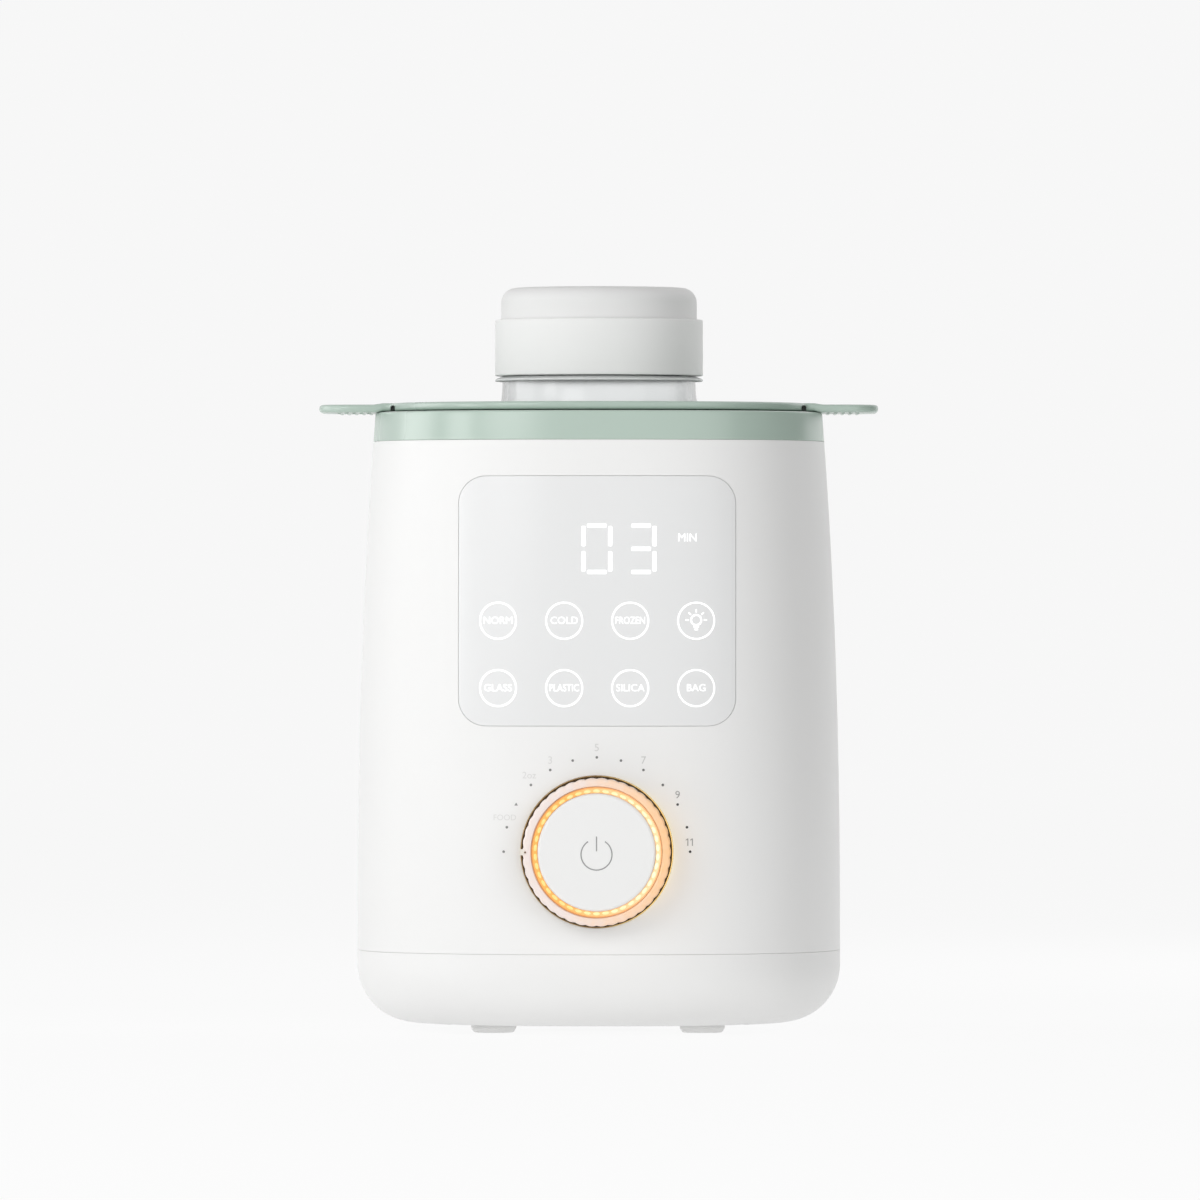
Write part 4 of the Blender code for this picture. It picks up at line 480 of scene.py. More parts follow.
levels = [SEAM_Z + (DECK_Z - SEAM_Z) * number / WALL_LEVELS for number in range(WALL_LEVELS + 1)]
bottom, *sides, top = [(wall_reach(z), z) for z in levels]
ceiling_z = DECK_Z - WALL
section = [(*bottom, HAIRLINE_ROUND), *sides, (*top, HAIRLINE_ROUND), (DECK_HOLE, DECK_Z),
           (DECK_HOLE, ceiling_z), (wall_reach(ceiling_z) - WALL, ceiling_z), (BODY_REACH - WALL, SEAM_Z)]
bm = squared(spun(section, BODY_STEPS), HOUSING_ROUND_IN)
recess = rounded_plate(WINDOW_WIDTH, WINDOW_LOW_Z, WINDOW_HIGH_Z, WINDOW_CORNER, RECESS_FRONT,
                       WINDOW_DEPTH + FINE_GAP)
opening = rounded_plate(OPENING_WIDTH, OPENING_LOW_Z, OPENING_HIGH_Z, OPENING_CORNER, 0, 2 * WALL)
for tool in (recess, opening):
    bm = combined(bm, lay_on_front(tool))
bore = bmesh.new()
add_rod(bore, DIAL_HOLE, BORE_LENGTH, segments=128)
bm = combined(bm, on_front(bore))
bore = bmesh.new()
back_wall = (Matrix.Translation((0, AXIS_Y + wall_reach(GLAND_Z), GLAND_Z))
             @ Matrix.Rotation(-math.pi / 2, 4, "X"))
add_rod(bore, GLAND_HOLE, BORE_LENGTH, back_wall, segments=48)
housing = finished("housing_shell", combined(bm, bore), white_shell)
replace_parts(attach(housing, "housing"), "upper_housing")

# Cord gland: a black rubber bush snapped into the back wall, with a soft flange outside and
# inside. The mains cord passes through its bore.
GLAND_BORE, GLAND_BARREL, GLAND_FLANGE, GLAND_FACE = 0.0033, 0.0047, 0.0070, 0.0066
GLAND_PROUD, GLAND_INSIDE, GLAND_END = 0.0024, -0.0039, -0.0054
GLAND_END_ROUND, GLAND_STEP_ROUND, GLAND_RIM_ROUND, GLAND_MOUTH_ROUND = 0.0003, 0.0002, 0.0009, 0.0007
GLAND_STEPS = 64
black_rubber = moulded("black_rubber", (0.035, 0.035, 0.035), mottle=0.3, roughness=0.62, grain=2200,
                       bump=0.3, depth=0.00006)
bm = spun([(GLAND_BORE, GLAND_END, GLAND_END_ROUND), (GLAND_FLANGE, GLAND_END, GLAND_END_ROUND),
           (GLAND_FLANGE, GLAND_INSIDE, GLAND_STEP_ROUND), (GLAND_BARREL, GLAND_INSIDE),
           (GLAND_BARREL, FINE_GAP), (GLAND_FLANGE, FINE_GAP, GLAND_STEP_ROUND),
           (GLAND_FACE, GLAND_PROUD, GLAND_RIM_ROUND), (GLAND_BORE, GLAND_PROUD, GLAND_MOUTH_ROUND)],
          GLAND_STEPS, (0, 0, 0))
bmesh.ops.transform(bm, matrix=back_wall, verts=bm.verts)
gland = finished("gland_bush", bm, black_rubber)
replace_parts(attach(gland, "housing"), "cord_gland")

# Water tank: a deep-drawn aluminium pot with a satin inside, whose flange is clamped between the
# housing's deck and the trim ring, on a silicone seal. The heater below it is aluminium too.
TANK_REACH, TANK_WALL, TANK_FLOOR_Z, TANK_ROUND = 0.048, 0.0015, 0.042, 0.007
FLANGE_LOW_Z, FLANGE_TOP_Z, FLANGE_REACH = 0.172, 0.1732, 0.057
FLANGE_ROOT_ROUND, FLANGE_EDGE_ROUND, TANK_MOUTH_ROUND = 0.0006, 0.0003, 0.001
TANK_STEPS = 128
LINE_GLOSS, LINE_TINT = 0.2, 0.25
drawn_metal, given, out = effect_group("drawn_metal", "Roughness", "Across", "Along")
where = add_node(drawn_metal, "TexCoord").outputs["Object"]
spread = add_node(drawn_metal, "CombineXYZ",
                  {"X": given["Across"], "Y": given["Across"], "Z": given["Along"]}).outputs["Vector"]
stretched = add_node(drawn_metal, "VectorMath", {0: where, 1: spread}, operation="MULTIPLY")
lines = add_node(drawn_metal, "TexNoise",
                 {"Vector": stretched.outputs["Vector"], "Scale": 1, "Detail": 5}).outputs["Fac"]
gloss = worked_out(drawn_metal, "MULTIPLY_ADD", lines, LINE_GLOSS, given["Roughness"])
tint = tinted(drawn_metal, given["Colour"], lines, LINE_TINT)
set_inputs(out, {"Colour": tint, "Roughness": gloss, "Height": lines})


def metal(name, colour, roughness, across, along, bump, depth, metallic=1):
    """Metal with fine lines, set by how closely they lie each way."""
    values = {"Colour": (*colour, 1), "Roughness": roughness, "Across": across, "Along": along}
    return shaded(with_skin(name, drawn_metal, values, bump, depth), {"Metallic": metallic})


def finish_carried(slot, material):
    """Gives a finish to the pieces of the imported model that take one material."""
    for part in frame["record"]["subparts"]:
        if part["material_slot"] == slot:
            frame["nodes"][part["node"]].material_slots[0].material = material


satin_aluminium = metal("satin_aluminium", (0.78, 0.79, 0.80), roughness=0.22, across=60, along=2400,
                        bump=0.12, depth=0.00005)
outer = TANK_REACH + TANK_WALL
bm = spun([(0, TANK_FLOOR_Z - TANK_WALL), (outer, TANK_FLOOR_Z - TANK_WALL, TANK_ROUND),
           (outer, FLANGE_LOW_Z, FLANGE_ROOT_ROUND), (FLANGE_REACH, FLANGE_LOW_Z, FLANGE_EDGE_ROUND),
           (FLANGE_REACH, FLANGE_TOP_Z, FLANGE_EDGE_ROUND), (TANK_REACH, FLANGE_TOP_Z, TANK_MOUTH_ROUND),
           (TANK_REACH, TANK_FLOOR_Z, TANK_ROUND - TANK_WALL), (0, TANK_FLOOR_Z)], TANK_STEPS)
tank = finished("tank_pot", bm, satin_aluminium)
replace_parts(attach(tank, "housing"), "water_tank")
finish_carried("aluminium", satin_aluminium)
finish_carried("silicone", pale_silicone)

# Trim ring: a satin sage green plastic band that caps the housing, holds down the tank's flange
# and carries the basket's rim. It is squarish outside like the body, and round inside.
TRIM_LOW_Z, TRIM_TOP_Z, TRIM_TOP_REACH = DECK_Z + HAIRLINE, 0.1786, 0.0647
TRIM_BORE, TRIM_RECESS, TRIM_RECESS_Z = 0.0478, 0.0573, 0.1735
TRIM_ROUND, TRIM_BORE_ROUND = 0.0007, 0.0006
TRIM_ROUND_IN = 0.060
SAGE = (0.44, 0.545, 0.48)
sage_green = moulded("sage_green", SAGE, mottle=0.03, roughness=0.20, grain=2400, bump=0.12)
shaded(sage_green, {"IOR": 1.62})
bm = spun([(TRIM_RECESS, TRIM_LOW_Z), (TOP_REACH, TRIM_LOW_Z, HAIRLINE_ROUND),
           (TRIM_TOP_REACH, TRIM_TOP_Z, TRIM_ROUND), (TRIM_BORE, TRIM_TOP_Z, TRIM_BORE_ROUND),
           (TRIM_BORE, TRIM_RECESS_Z), (TRIM_RECESS, TRIM_RECESS_Z)], BODY_STEPS)
trim = finished("trim_band", squared(bm, TRIM_ROUND_IN), sage_green)
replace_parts(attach(trim, "housing"), "trim_ring")

# Touch window: a plate of pale grey plastic with a faint gloss, moulded to the curve of the wall
# and glued flush in its recess, so that only a hairline shows round it.
WINDOW_PLAY, WINDOW_EDGE = 0.00006, 0.00022
window_grey = moulded("window_grey", (0.81, 0.815, 0.815), mottle=0.02, roughness=0.24, grain=900,
                      bump=0.03, depth=0.00003)
plate = rounded_plate(WINDOW_WIDTH - 2 * WINDOW_PLAY, WINDOW_LOW_Z + WINDOW_PLAY,
                      WINDOW_HIGH_Z - WINDOW_PLAY, WINDOW_CORNER - WINDOW_PLAY,
                      0, WINDOW_DEPTH, WINDOW_EDGE)
window = finished("touch_window", lay_on_front(plate), window_grey)
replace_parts(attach(window, "housing"), "display_window")

# Lit figures: two digits of seven bars and a unit word that shine white through the window.
# They are thin raised films here, laid on its face.
FILM_BACK, FILM_FRONT = 0.00002, -0.00005
LETTER_SIZE, LETTER_CURVE_STEPS = 1.38, 4
BAR, BAR_GAP, BAR_END, BAR_END_STEPS = 0.00118, 0.00042, 0.3, 3
DIGIT_WIDTH, DIGIT_LOW_Z, DIGIT_HIGH_Z = 0.0088, 0.1318, 0.1462
DIGITS = ((-0.0044, "abcdef"), (0.0082, "abcdg"))
UNIT_AT, UNIT_HEIGHT, UNIT_WIDTH = (0.0258, 0.1421), 0.0024, 0.0052
LIT_DIM, LIT_FULL = (0.93, 0.95, 0.97), (1, 1, 1)
SQUARE = ((-1, -1), (1, -1), (1, 1), (-1, 1))


def ramped(tree, share, stops):
    """Colour that runs through stops, each a share and a colour."""
    ramp = add_node(tree, "ValToRGB", {"Fac": share})
    elements = ramp.color_ramp.elements
    for place, colour in stops[1:-1]:
        elements.new(place).color = (*colour, 1)
    for end in (0, -1):
        elements[end].position = stops[end][0]
        elements[end].color = (*stops[end][1], 1)
    return ramp.outputs["Color"]


def add_mesh(bm, other):
    """Adds another shape to this one and uses it up."""
    mesh = bpy.data.meshes.new("work")
    other.to_mesh(mesh)
    other.free()
    bm.from_mesh(mesh)
    bpy.data.meshes.remove(mesh)


def film(bm, front=FILM_FRONT, back=FILM_BACK):
    """Gives flat faces that stand at y = 0 the thickness of a film."""
    bmesh.ops.translate(bm, verts=bm.verts, vec=(0, front, 0))
    return raised(bm, (0, back - front, 0))


def upright(x, z):
    """Place that stands up what was drawn flat on the ground."""
    return Matrix.Translation((x, 0, z)) @ Matrix.Rotation(math.pi / 2, 4, "X")


def lettering(text, height, x, z, widest=1.0):
    """Flat upright letters, centred on a place, and narrowed where they would be too wide."""
    curve = bpy.data.curves.new("letters", "FONT")
    curve.body = text
    curve.align_x = "CENTER"
    curve.align_y = "CENTER"
    curve.resolution_u = LETTER_CURVE_STEPS
    writer = bpy.data.objects.new("letters", curve)
    bpy.context.scene.collection.objects.link(writer)
    outline = bpy.data.meshes.new_from_object(writer.evaluated_get(bpy.context.evaluated_depsgraph_get()))
    bm = bmesh.new()
    bm.from_mesh(outline)
    bpy.data.meshes.remove(outline)
    bpy.data.objects.remove(writer)
    bpy.data.curves.remove(curve)
    bmesh.ops.remove_doubles(bm, verts=bm.verts, dist=SAME)
    scale = height * LETTER_SIZE
    long = scale * (max(vert.co.x for vert in bm.verts) - min(vert.co.x for vert in bm.verts))
    place = upright(x, z) @ Matrix.Diagonal((scale * min(1, widest / long), scale, scale, 1))
    bmesh.ops.transform(bm, matrix=place, verts=bm.verts)
    return bm


def add_bar(bm, x, z, long, standing):
    """One lit bar of a digit, with its ends drawn in."""
    half = long / 2 - BAR_GAP
    wide, tall = (BAR / 2, half) if standing else (half, BAR / 2)
    bar = bmesh.new()
    verts = [bar.verts.new((x + a * wide, 0, z + b * tall)) for a, b in SQUARE]
    bar.faces.new(verts)
    rounded(bar, verts, BAR * BAR_END, BAR_END_STEPS, "VERTICES")
    add_mesh(bm, bar)


lit_white = shaded(new_material("lit_white"),
                   {"Base Color": (0.9, 0.9, 0.9, 1), "Roughness": 0.4, "Emission Strength": 0.45})
tree = lit_white.node_tree
where = add_node(tree, "TexCoord").outputs["Object"]
flicker = add_node(tree, "TexNoise", {"Vector": where, "Scale": 500}).outputs["Fac"]
shaded(lit_white, {"Emission Color": ramped(tree, flicker, ((0, LIT_DIM), (1, LIT_FULL)))})
figures = bmesh.new()
half_height = (DIGIT_HIGH_Z - DIGIT_LOW_Z) / 2
middle_z = (DIGIT_HIGH_Z + DIGIT_LOW_Z) / 2
for left, bars in DIGITS:
    right = left + DIGIT_WIDTH
    level = {"a": DIGIT_HIGH_Z - BAR / 2, "g": middle_z, "d": DIGIT_LOW_Z + BAR / 2}
    standing = {"b": (right - BAR / 2, 1), "c": (right - BAR / 2, -1),
                "e": (left + BAR / 2, -1), "f": (left + BAR / 2, 1)}
    for bar in bars:
        if bar in level:
            add_bar(figures, (left + right) / 2, level[bar], DIGIT_WIDTH - 2 * BAR, False)
        else:
            x, side = standing[bar]
            add_bar(figures, x, middle_z + side * half_height / 2, half_height - BAR / 2, True)
add_mesh(figures, lettering("MIN", UNIT_HEIGHT, *UNIT_AT, UNIT_WIDTH))
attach(finished("lit_figures", lay_on_front(film(figures)), lit_white), "housing")

# Touch keys: eight thin rings that shine white through the window, each round a short word, and
# one round a lamp for the night light.
KEY_X = (-0.0282, -0.0093, 0.0095, 0.0283)
KEY_ROWS = ((0.1185, ("NORM", "COLD", "FROZEN", "")), (0.0993, ("GLASS", "PLASTIC", "SILICA", "BAG")))
KEY_REACH, KEY_LINE = 0.0054, 0.00047
WORD_HEIGHT, WORD_WIDTH = 0.0021, 0.0084
STROKE_END, STROKE_END_STEPS = 0.45, 3
BULB_RISE, BULB_REACH, BULB_BORE, BULB_STEPS = 0.0002, 0.0017, 0.0012, 32
BULB_CAP = ((0.0005, 0.0017, 0.0006), (0.0003, 0.0025, 0.0005))
RAY_IN, RAY_OUT, RAY_LINE, RAY_TURNS = 0.0023, 0.0029, 0.0004, (0, 45, 90, 135, 180)


def add_ring(bm, x, z, outer, inner, segments=64):
    """Flat upright ring."""
    ring = bmesh.new()
    for reach in (outer, inner):
        bmesh.ops.create_circle(ring, segments=segments, radius=reach)
    bmesh.ops.bridge_loops(ring, edges=ring.edges[:])
    bmesh.ops.transform(ring, matrix=upright(x, z), verts=ring.verts)
    add_mesh(bm, ring)


def add_stroke(bm, start, end, width):
    """Flat upright stroke from one place to another, with rounded ends."""
    long = math.dist(start, end) + width
    stroke = bmesh.new()
    verts = [stroke.verts.new((a * long / 2, b * width / 2, 0)) for a, b in SQUARE]
    stroke.faces.new(verts)
    rounded(stroke, verts, width * STROKE_END, STROKE_END_STEPS, "VERTICES")
    slope = math.atan2(end[1] - start[1], end[0] - start[0])
    place = upright((start[0] + end[0]) / 2, (start[1] + end[1]) / 2) @ Matrix.Rotation(slope, 4, "Z")
    bmesh.ops.transform(stroke, matrix=place, verts=stroke.verts)
    add_mesh(bm, stroke)


keys = bmesh.new()
for z, words in KEY_ROWS:
    for x, word in zip(KEY_X, words):
        add_ring(keys, x, z, KEY_REACH, KEY_REACH - KEY_LINE)
        if word:
            add_mesh(keys, lettering(word, WORD_HEIGHT, x, z, WORD_WIDTH))
        else:
            add_ring(keys, x, z + BULB_RISE, BULB_REACH, BULB_BORE, BULB_STEPS)
            for half, drop, width in BULB_CAP:
                add_stroke(keys, (x - half, z - drop), (x + half, z - drop), width)
            for turn in RAY_TURNS:
                c, s = math.cos(math.radians(turn)), math.sin(math.radians(turn))
                start, end = [(x + reach * c, z + BULB_RISE + reach * s) for reach in (RAY_IN, RAY_OUT)]
                add_stroke(keys, start, end, RAY_LINE)
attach(finished("lit_keys", lay_on_front(film(keys)), lit_white), "housing")

# Dial scale: thirteen small marks pad-printed on the housing over the dial, in dark grey, and
# paler numbers above some of them.
MARK_CIRCLE, MARK_RISE, MARK_REACH, MARK_COUNT = 0.02656, 0.0269, 0.00038, 13
MARK_STEPS, POINTED_MARK, POINTED_REACH = 20, 2, 0.00057
LABEL_RISE = 0.0027
LABELS = {1: ("FOOD", 0.0017, -0.0006), 3: ("2oz", 0.0020, -0.0005), 4: ("3", 0.0022, 0),
          6: ("5", 0.0022, 0), 8: ("7", 0.0022, 0), 10: ("9", 0.0022, 0)}
LAST_MARK, FIGURE_HEIGHT, FIGURE_PITCH = 12, 0.0021, 0.0013
FIGURE_ONE = ((0.06, -0.5), (0.06, 0.5), (-0.05, 0.5), (-0.30, 0.33), (-0.26, 0.23), (-0.06, 0.36),
              (-0.06, -0.5))
SCALE_PITCH = 0.004
# Both inks are painted paler at the left and darker at the right, a painted highlight and painted shade
# across the scale.
INK_TURNS, INK_LEFT_SHARE = 0.7, 0.9
DARK_INK_PAINTED_LIGHT, PALE_INK_PAINTED_LIGHT = ((0.24,) * 3, (0.05,) * 3), ((0.80, 0.80, 0.79), (0.34,) * 3)


def across(tree, left, right):
    """How far across a piece a place is, from 0 at the left to 1 at the right."""
    where = add_node(tree, "TexCoord").outputs["Object"]
    apart = add_node(tree, "SeparateXYZ", {"Vector": where}).outputs
    return add_node(tree, "MapRange",
                    {"Value": apart["X"], "From Min": left, "From Max": right}).outputs["Result"]


def ink_with_painted_light(name, left, right):
    """Pad-printing ink, slightly uneven, and painted paler towards the left and darker towards the right: a
    painted highlight and painted shade.
    """
    material = moulded(name, right, mottle=0.25, roughness=0.45, grain=3000, bump=0.1, depth=0.00002)
    tree = material.node_tree
    between = [INK_LEFT_SHARE * a + (1 - INK_LEFT_SHARE) * b for a, b in zip(left, right)]
    stops = ((0, left), (INK_TURNS, between), (1, right))
    skin = next(node for node in tree.nodes if node.type == "GROUP")
    set_inputs(skin, {"Colour": ramped(tree, across(tree, -MARK_CIRCLE, MARK_CIRCLE), stops)})
    return material


marks, labels = bmesh.new(), bmesh.new()
for number in range(MARK_COUNT):
    turn = math.pi * (1 - number / (MARK_COUNT - 1))
    x, z = MARK_CIRCLE * math.cos(turn), DIAL_Z + MARK_RISE * math.sin(turn)
    steps, reach = (3, POINTED_REACH) if number == POINTED_MARK else (MARK_STEPS, MARK_REACH)
    bmesh.ops.create_circle(marks, cap_ends=True, segments=steps, radius=reach, matrix=upright(x, z))
    if number in LABELS:
        word, height, aside = LABELS[number]
        add_mesh(labels, lettering(word, height, x + aside, z + LABEL_RISE))
    if number == LAST_MARK:
        for middle in (x - FIGURE_PITCH / 2, x + FIGURE_PITCH / 2):
            places = [(middle + a * FIGURE_HEIGHT, 0, z + LABEL_RISE + b * FIGURE_HEIGHT)
                      for a, b in FIGURE_ONE]
            labels.faces.new([labels.verts.new(place) for place in places])
for name, shapes, ink, colours in (("scale_marks", marks, "dark_ink", DARK_INK_PAINTED_LIGHT),
                                   ("scale_labels", labels, "pale_ink", PALE_INK_PAINTED_LIGHT)):
    printed = finished(name, lay_on_front(film(shapes), SCALE_PITCH), ink_with_painted_light(ink, *colours))
    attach(printed, "housing")

# Dial seat: a dark bronze bezel pressed into the housing's bore. It carries the dial's rotor,
# and shows as a thin dark line round the dial.
SEAT_REACH, SEAT_BORE, SEAT_PROUD, SEAT_ROUND = 0.0215, 0.0199, 0.0004, 0.0001
SEAT_PLATE_BACK, SEAT_WALL = -0.001, 0.0012
SEAT_BACK, SEAT_FLANGE, SEAT_FLANGE_FRONT = -0.0078, 0.0245, -0.0062
DIAL_STEPS = 168


def dial_turned(corners, steps=DIAL_STEPS, aside=0):
    """Turned solid on the dial's axis, or beside it, with its heights running forwards."""
    return on_front(spun(corners, steps, (aside, 0, 0)))


dark_bronze = metal("dark_bronze", (0.10, 0.058, 0.026), roughness=0.16, across=900, along=900, bump=0.05,
                    depth=0.00003, metallic=0.7)
tube_bore = SEAT_REACH - SEAT_WALL
bm = dial_turned([(SEAT_BORE, SEAT_PLATE_BACK), (tube_bore, SEAT_PLATE_BACK), (tube_bore, SEAT_BACK),
                  (SEAT_FLANGE, SEAT_BACK), (SEAT_FLANGE, SEAT_FLANGE_FRONT),
                  (SEAT_REACH, SEAT_FLANGE_FRONT), (SEAT_REACH, SEAT_PROUD, SEAT_ROUND),
                  (SEAT_BORE, SEAT_PROUD)])
seat = finished("dial_bezel", bm, dark_bronze)
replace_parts(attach(seat, "housing"), "dial_seat")

# Dial ring: the part that is gripped, moulded in milky clear plastic with fine flutes round its
# edge. It snaps onto the rotor behind it. The warm light inside it leaks out of its side, shown as a
# painted glow that is orange only at the right, and its face is painted warmer towards the right.
RING_REACH, RING_BORE, RING_BACK, RING_FRONT = 0.0211, 0.0187, 0.0011, 0.0090
RING_ROUND, RING_EASE, BORE_ROUND, BORE_EASE = 0.0006, 0.0002, 0.0005, 0.0001
RING_PROFILE = ((RING_REACH, RING_FRONT - RING_ROUND), (RING_REACH - RING_EASE, RING_FRONT - RING_EASE),
                (RING_REACH - RING_ROUND, RING_FRONT), (RING_BORE + BORE_ROUND, RING_FRONT),
                (RING_BORE + BORE_EASE, RING_FRONT - RING_EASE), (RING_BORE, RING_FRONT - RING_ROUND),
                (RING_BORE, RING_BACK))
RING_CREASE = 50
FLUTES, FLUTE_DEPTH, FLUTE_POINTS, FLUTE_BAND = 42, 0.0003, 10, 0.0008
SIDE_FACING = 0.3
# Where the painted light of the dial's lit plastics runs from their left to their right, and how unevenly.
GLOW_LEFT, GLOW_RIGHT, GLOW_UNEVEN = -0.010, 0.021, 0.5
SIDE_GLOW_LEFT = 0.012
MILKY_PAINTED_LIGHT = ((0.83, 0.73, 0.69), (0.94, 0.57, 0.29))
SIDE_PAINTED_COLOURS, SIDE_GLOWS = ((0.80, 0.76, 0.73), (0.98, 0.62, 0.28)), ((0, 0, 0), (1.0, 0.56, 0.15))


def painted_glow_across(name, colours, glows, strength, start=GLOW_LEFT):
    """Plastic lit from behind, whose colour and glow are painted to change unevenly from its left to its
    right: painted light, not a change in the plastic.
    """
    material = shaded(new_material(name), {"Roughness": 0.28, "Emission Strength": strength})
    tree = material.node_tree
    where = add_node(tree, "TexCoord").outputs["Object"]
    cloud = add_node(tree, "TexNoise", {"Vector": where, "Scale": 600}).outputs["Fac"]
    uneven = worked_out(tree, "MULTIPLY_ADD", cloud, GLOW_UNEVEN, -GLOW_UNEVEN / 2)
    painted_light_share = worked_out(tree, "ADD", across(tree, start, GLOW_RIGHT), uneven)
    return shaded(material, {"Base Color": ramped(tree, painted_light_share, tuple(enumerate(colours))),
                             "Emission Color": ramped(tree, painted_light_share, tuple(enumerate(glows)))})


# The ring's face is painted from a pale pink at the left to orange at the right, with a faint glow: painted
# light for the warm light that shows on its shaded right, not plastic of two colours.
clear_ring_painted_glow = painted_glow_across("dial_clear", MILKY_PAINTED_LIGHT, MILKY_PAINTED_LIGHT, strength=0.10)
# The ring's side is painted pale at the left and glowing orange only right of the middle: a painted glow
# and painted colour, where the warm light shows against the shade on the right.
side_painted_glow = painted_glow_across("side_painted_glow", SIDE_PAINTED_COLOURS, SIDE_GLOWS, strength=0.55, start=SIDE_GLOW_LEFT)
bm = bmesh.new()
bmesh.ops.create_circle(bm, segments=FLUTES * FLUTE_POINTS, radius=RING_REACH,
                        matrix=Matrix.Translation((0, 0, RING_BACK)))
first_loop = bm.edges[:]
loop = first_loop
for reach, rise in RING_PROFILE:
    grown = bmesh.ops.extrude_edge_only(bm, edges=loop)["geom"]
    loop = [item for item in grown if isinstance(item, bmesh.types.BMEdge)
            and all(vert in grown for vert in item.verts)]
    for vert in {vert for edge in loop for vert in edge.verts}:
        length = math.hypot(vert.co.x, vert.co.y)
        vert.co = (vert.co.x * reach / length, vert.co.y * reach / length, rise)
bmesh.ops.bridge_loops(bm, edges=first_loop + loop)
for vert in bm.verts:
    length = math.hypot(vert.co.x, vert.co.y)
    fade = max(0.0, (length - RING_REACH + FLUTE_BAND) / FLUTE_BAND)
    wave = 1 - abs(math.cos(FLUTES / 2 * math.atan2(vert.co.y, vert.co.x)))
    kept = 1 - fade * FLUTE_DEPTH * wave / length
    vert.co.x *= kept
    vert.co.y *= kept
bmesh.ops.recalc_face_normals(bm, faces=bm.faces)
ring = finished("dial_fluted_ring", on_front(bm), clear_ring_painted_glow, RING_CREASE)
ring.data.materials.append(side_painted_glow)
# Side faces of the fluted edge take the painted glow.
for face in ring.data.polygons:
    reach = math.hypot(face.center.x, face.center.z - DIAL_Z)
    if reach > RING_REACH - FLUTE_BAND and abs(face.normal.y) < SIDE_FACING:
        face.material_index = 1
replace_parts(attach(ring, "dial"), "dial_ring")

# Bezel edge: a gold bead round the dark bezel, pressed on over the seat. It is painted dark at its
# left and bright, glowing gold at its right: a painted highlight and painted glow, for the light behind the
# dial that reaches it there.
EDGE_REACH, EDGE_BACK, EDGE_FRONT, EDGE_ROUND = 0.02172, -0.002, SEAT_PROUD + 0.0001, 0.0001
GOLD_PAINTED_LIGHT, GOLD_GLOWS = ((0.50, 0.33, 0.15), (1.0, 0.74, 0.30)), ((0, 0, 0), (1.0, 0.72, 0.22))
gold_painted_glow = painted_glow_across("gold_edge_painted_glow", GOLD_PAINTED_LIGHT, GOLD_GLOWS, strength=0.6, start=0)
shaded(gold_painted_glow, {"Metallic": 0.5})
bm = dial_turned([(SEAT_REACH, EDGE_BACK), (EDGE_REACH, EDGE_BACK), (EDGE_REACH, EDGE_FRONT, EDGE_ROUND),
                  (SEAT_REACH, EDGE_FRONT, EDGE_ROUND)])
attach(finished("bezel_edge", bm, gold_painted_glow), "housing")

# Pointer: a small cream nib set in the edge of the dial ring, which laps over the bezel to point
# at the scale, with a brown dot beside it.
NIB_IN, NIB_OUT, NIB_HALF, NIB_ROUND = 0.0204, 0.0218, 0.0008, 0.0003
NIB_BACK, NIB_FRONT = 0.0014, 0.0091
DOT_AT, DOT_REACH, DOT_ROUND, DOT_STEPS = 0.0203, 0.0003, 0.0001, 20
DOT_BACK, DOT_FRONT = RING_FRONT - 0.0002, RING_FRONT + 0.0002
cream = moulded("cream_nib", (0.86, 0.80, 0.72), mottle=0.05, roughness=0.4, grain=2500, bump=0.1,
                depth=0.00004)
brown = moulded("brown_dot", (0.22, 0.13, 0.07), mottle=0.2, roughness=0.4, grain=2500, bump=0.1,
                depth=0.00004)
bm = bmesh.new()
add_block(bm, (-NIB_OUT, -NIB_HALF, NIB_BACK), (-NIB_IN, NIB_HALF, NIB_FRONT), NIB_ROUND)
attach(finished("dial_pointer", on_front(bm), cream), "dial")
bm = dial_turned([(0, DOT_BACK), (DOT_REACH, DOT_BACK), (DOT_REACH, DOT_FRONT, DOT_ROUND), (0, DOT_FRONT)],
                 DOT_STEPS, -DOT_AT)
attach(finished("pointer_dot", bm, brown), "dial")

# Light ring: an amber light guide between the dial ring and the button. The lamps behind it
# make it glow in a row of beads, with a deeper orange line round the outside. Their colours are also
# painted from deeper orange at the left to paler at the right: painted light, not a change in the plastic.
GLOW_REACH, BAND_REACH, GLOW_BORE, TAIL_REACH = 0.0186, 0.0182, 0.01688, 0.0183
GLOW_BACK, GLOW_FRONT, GLOW_ROUND = -0.0099, 0.0084, 0.0001
BEADS, BEAD_CIRCLE, BEAD_REACH, BEAD_SHAPE = 42, 0.01742, 0.00062, (0.8, 1.6, 0.4)
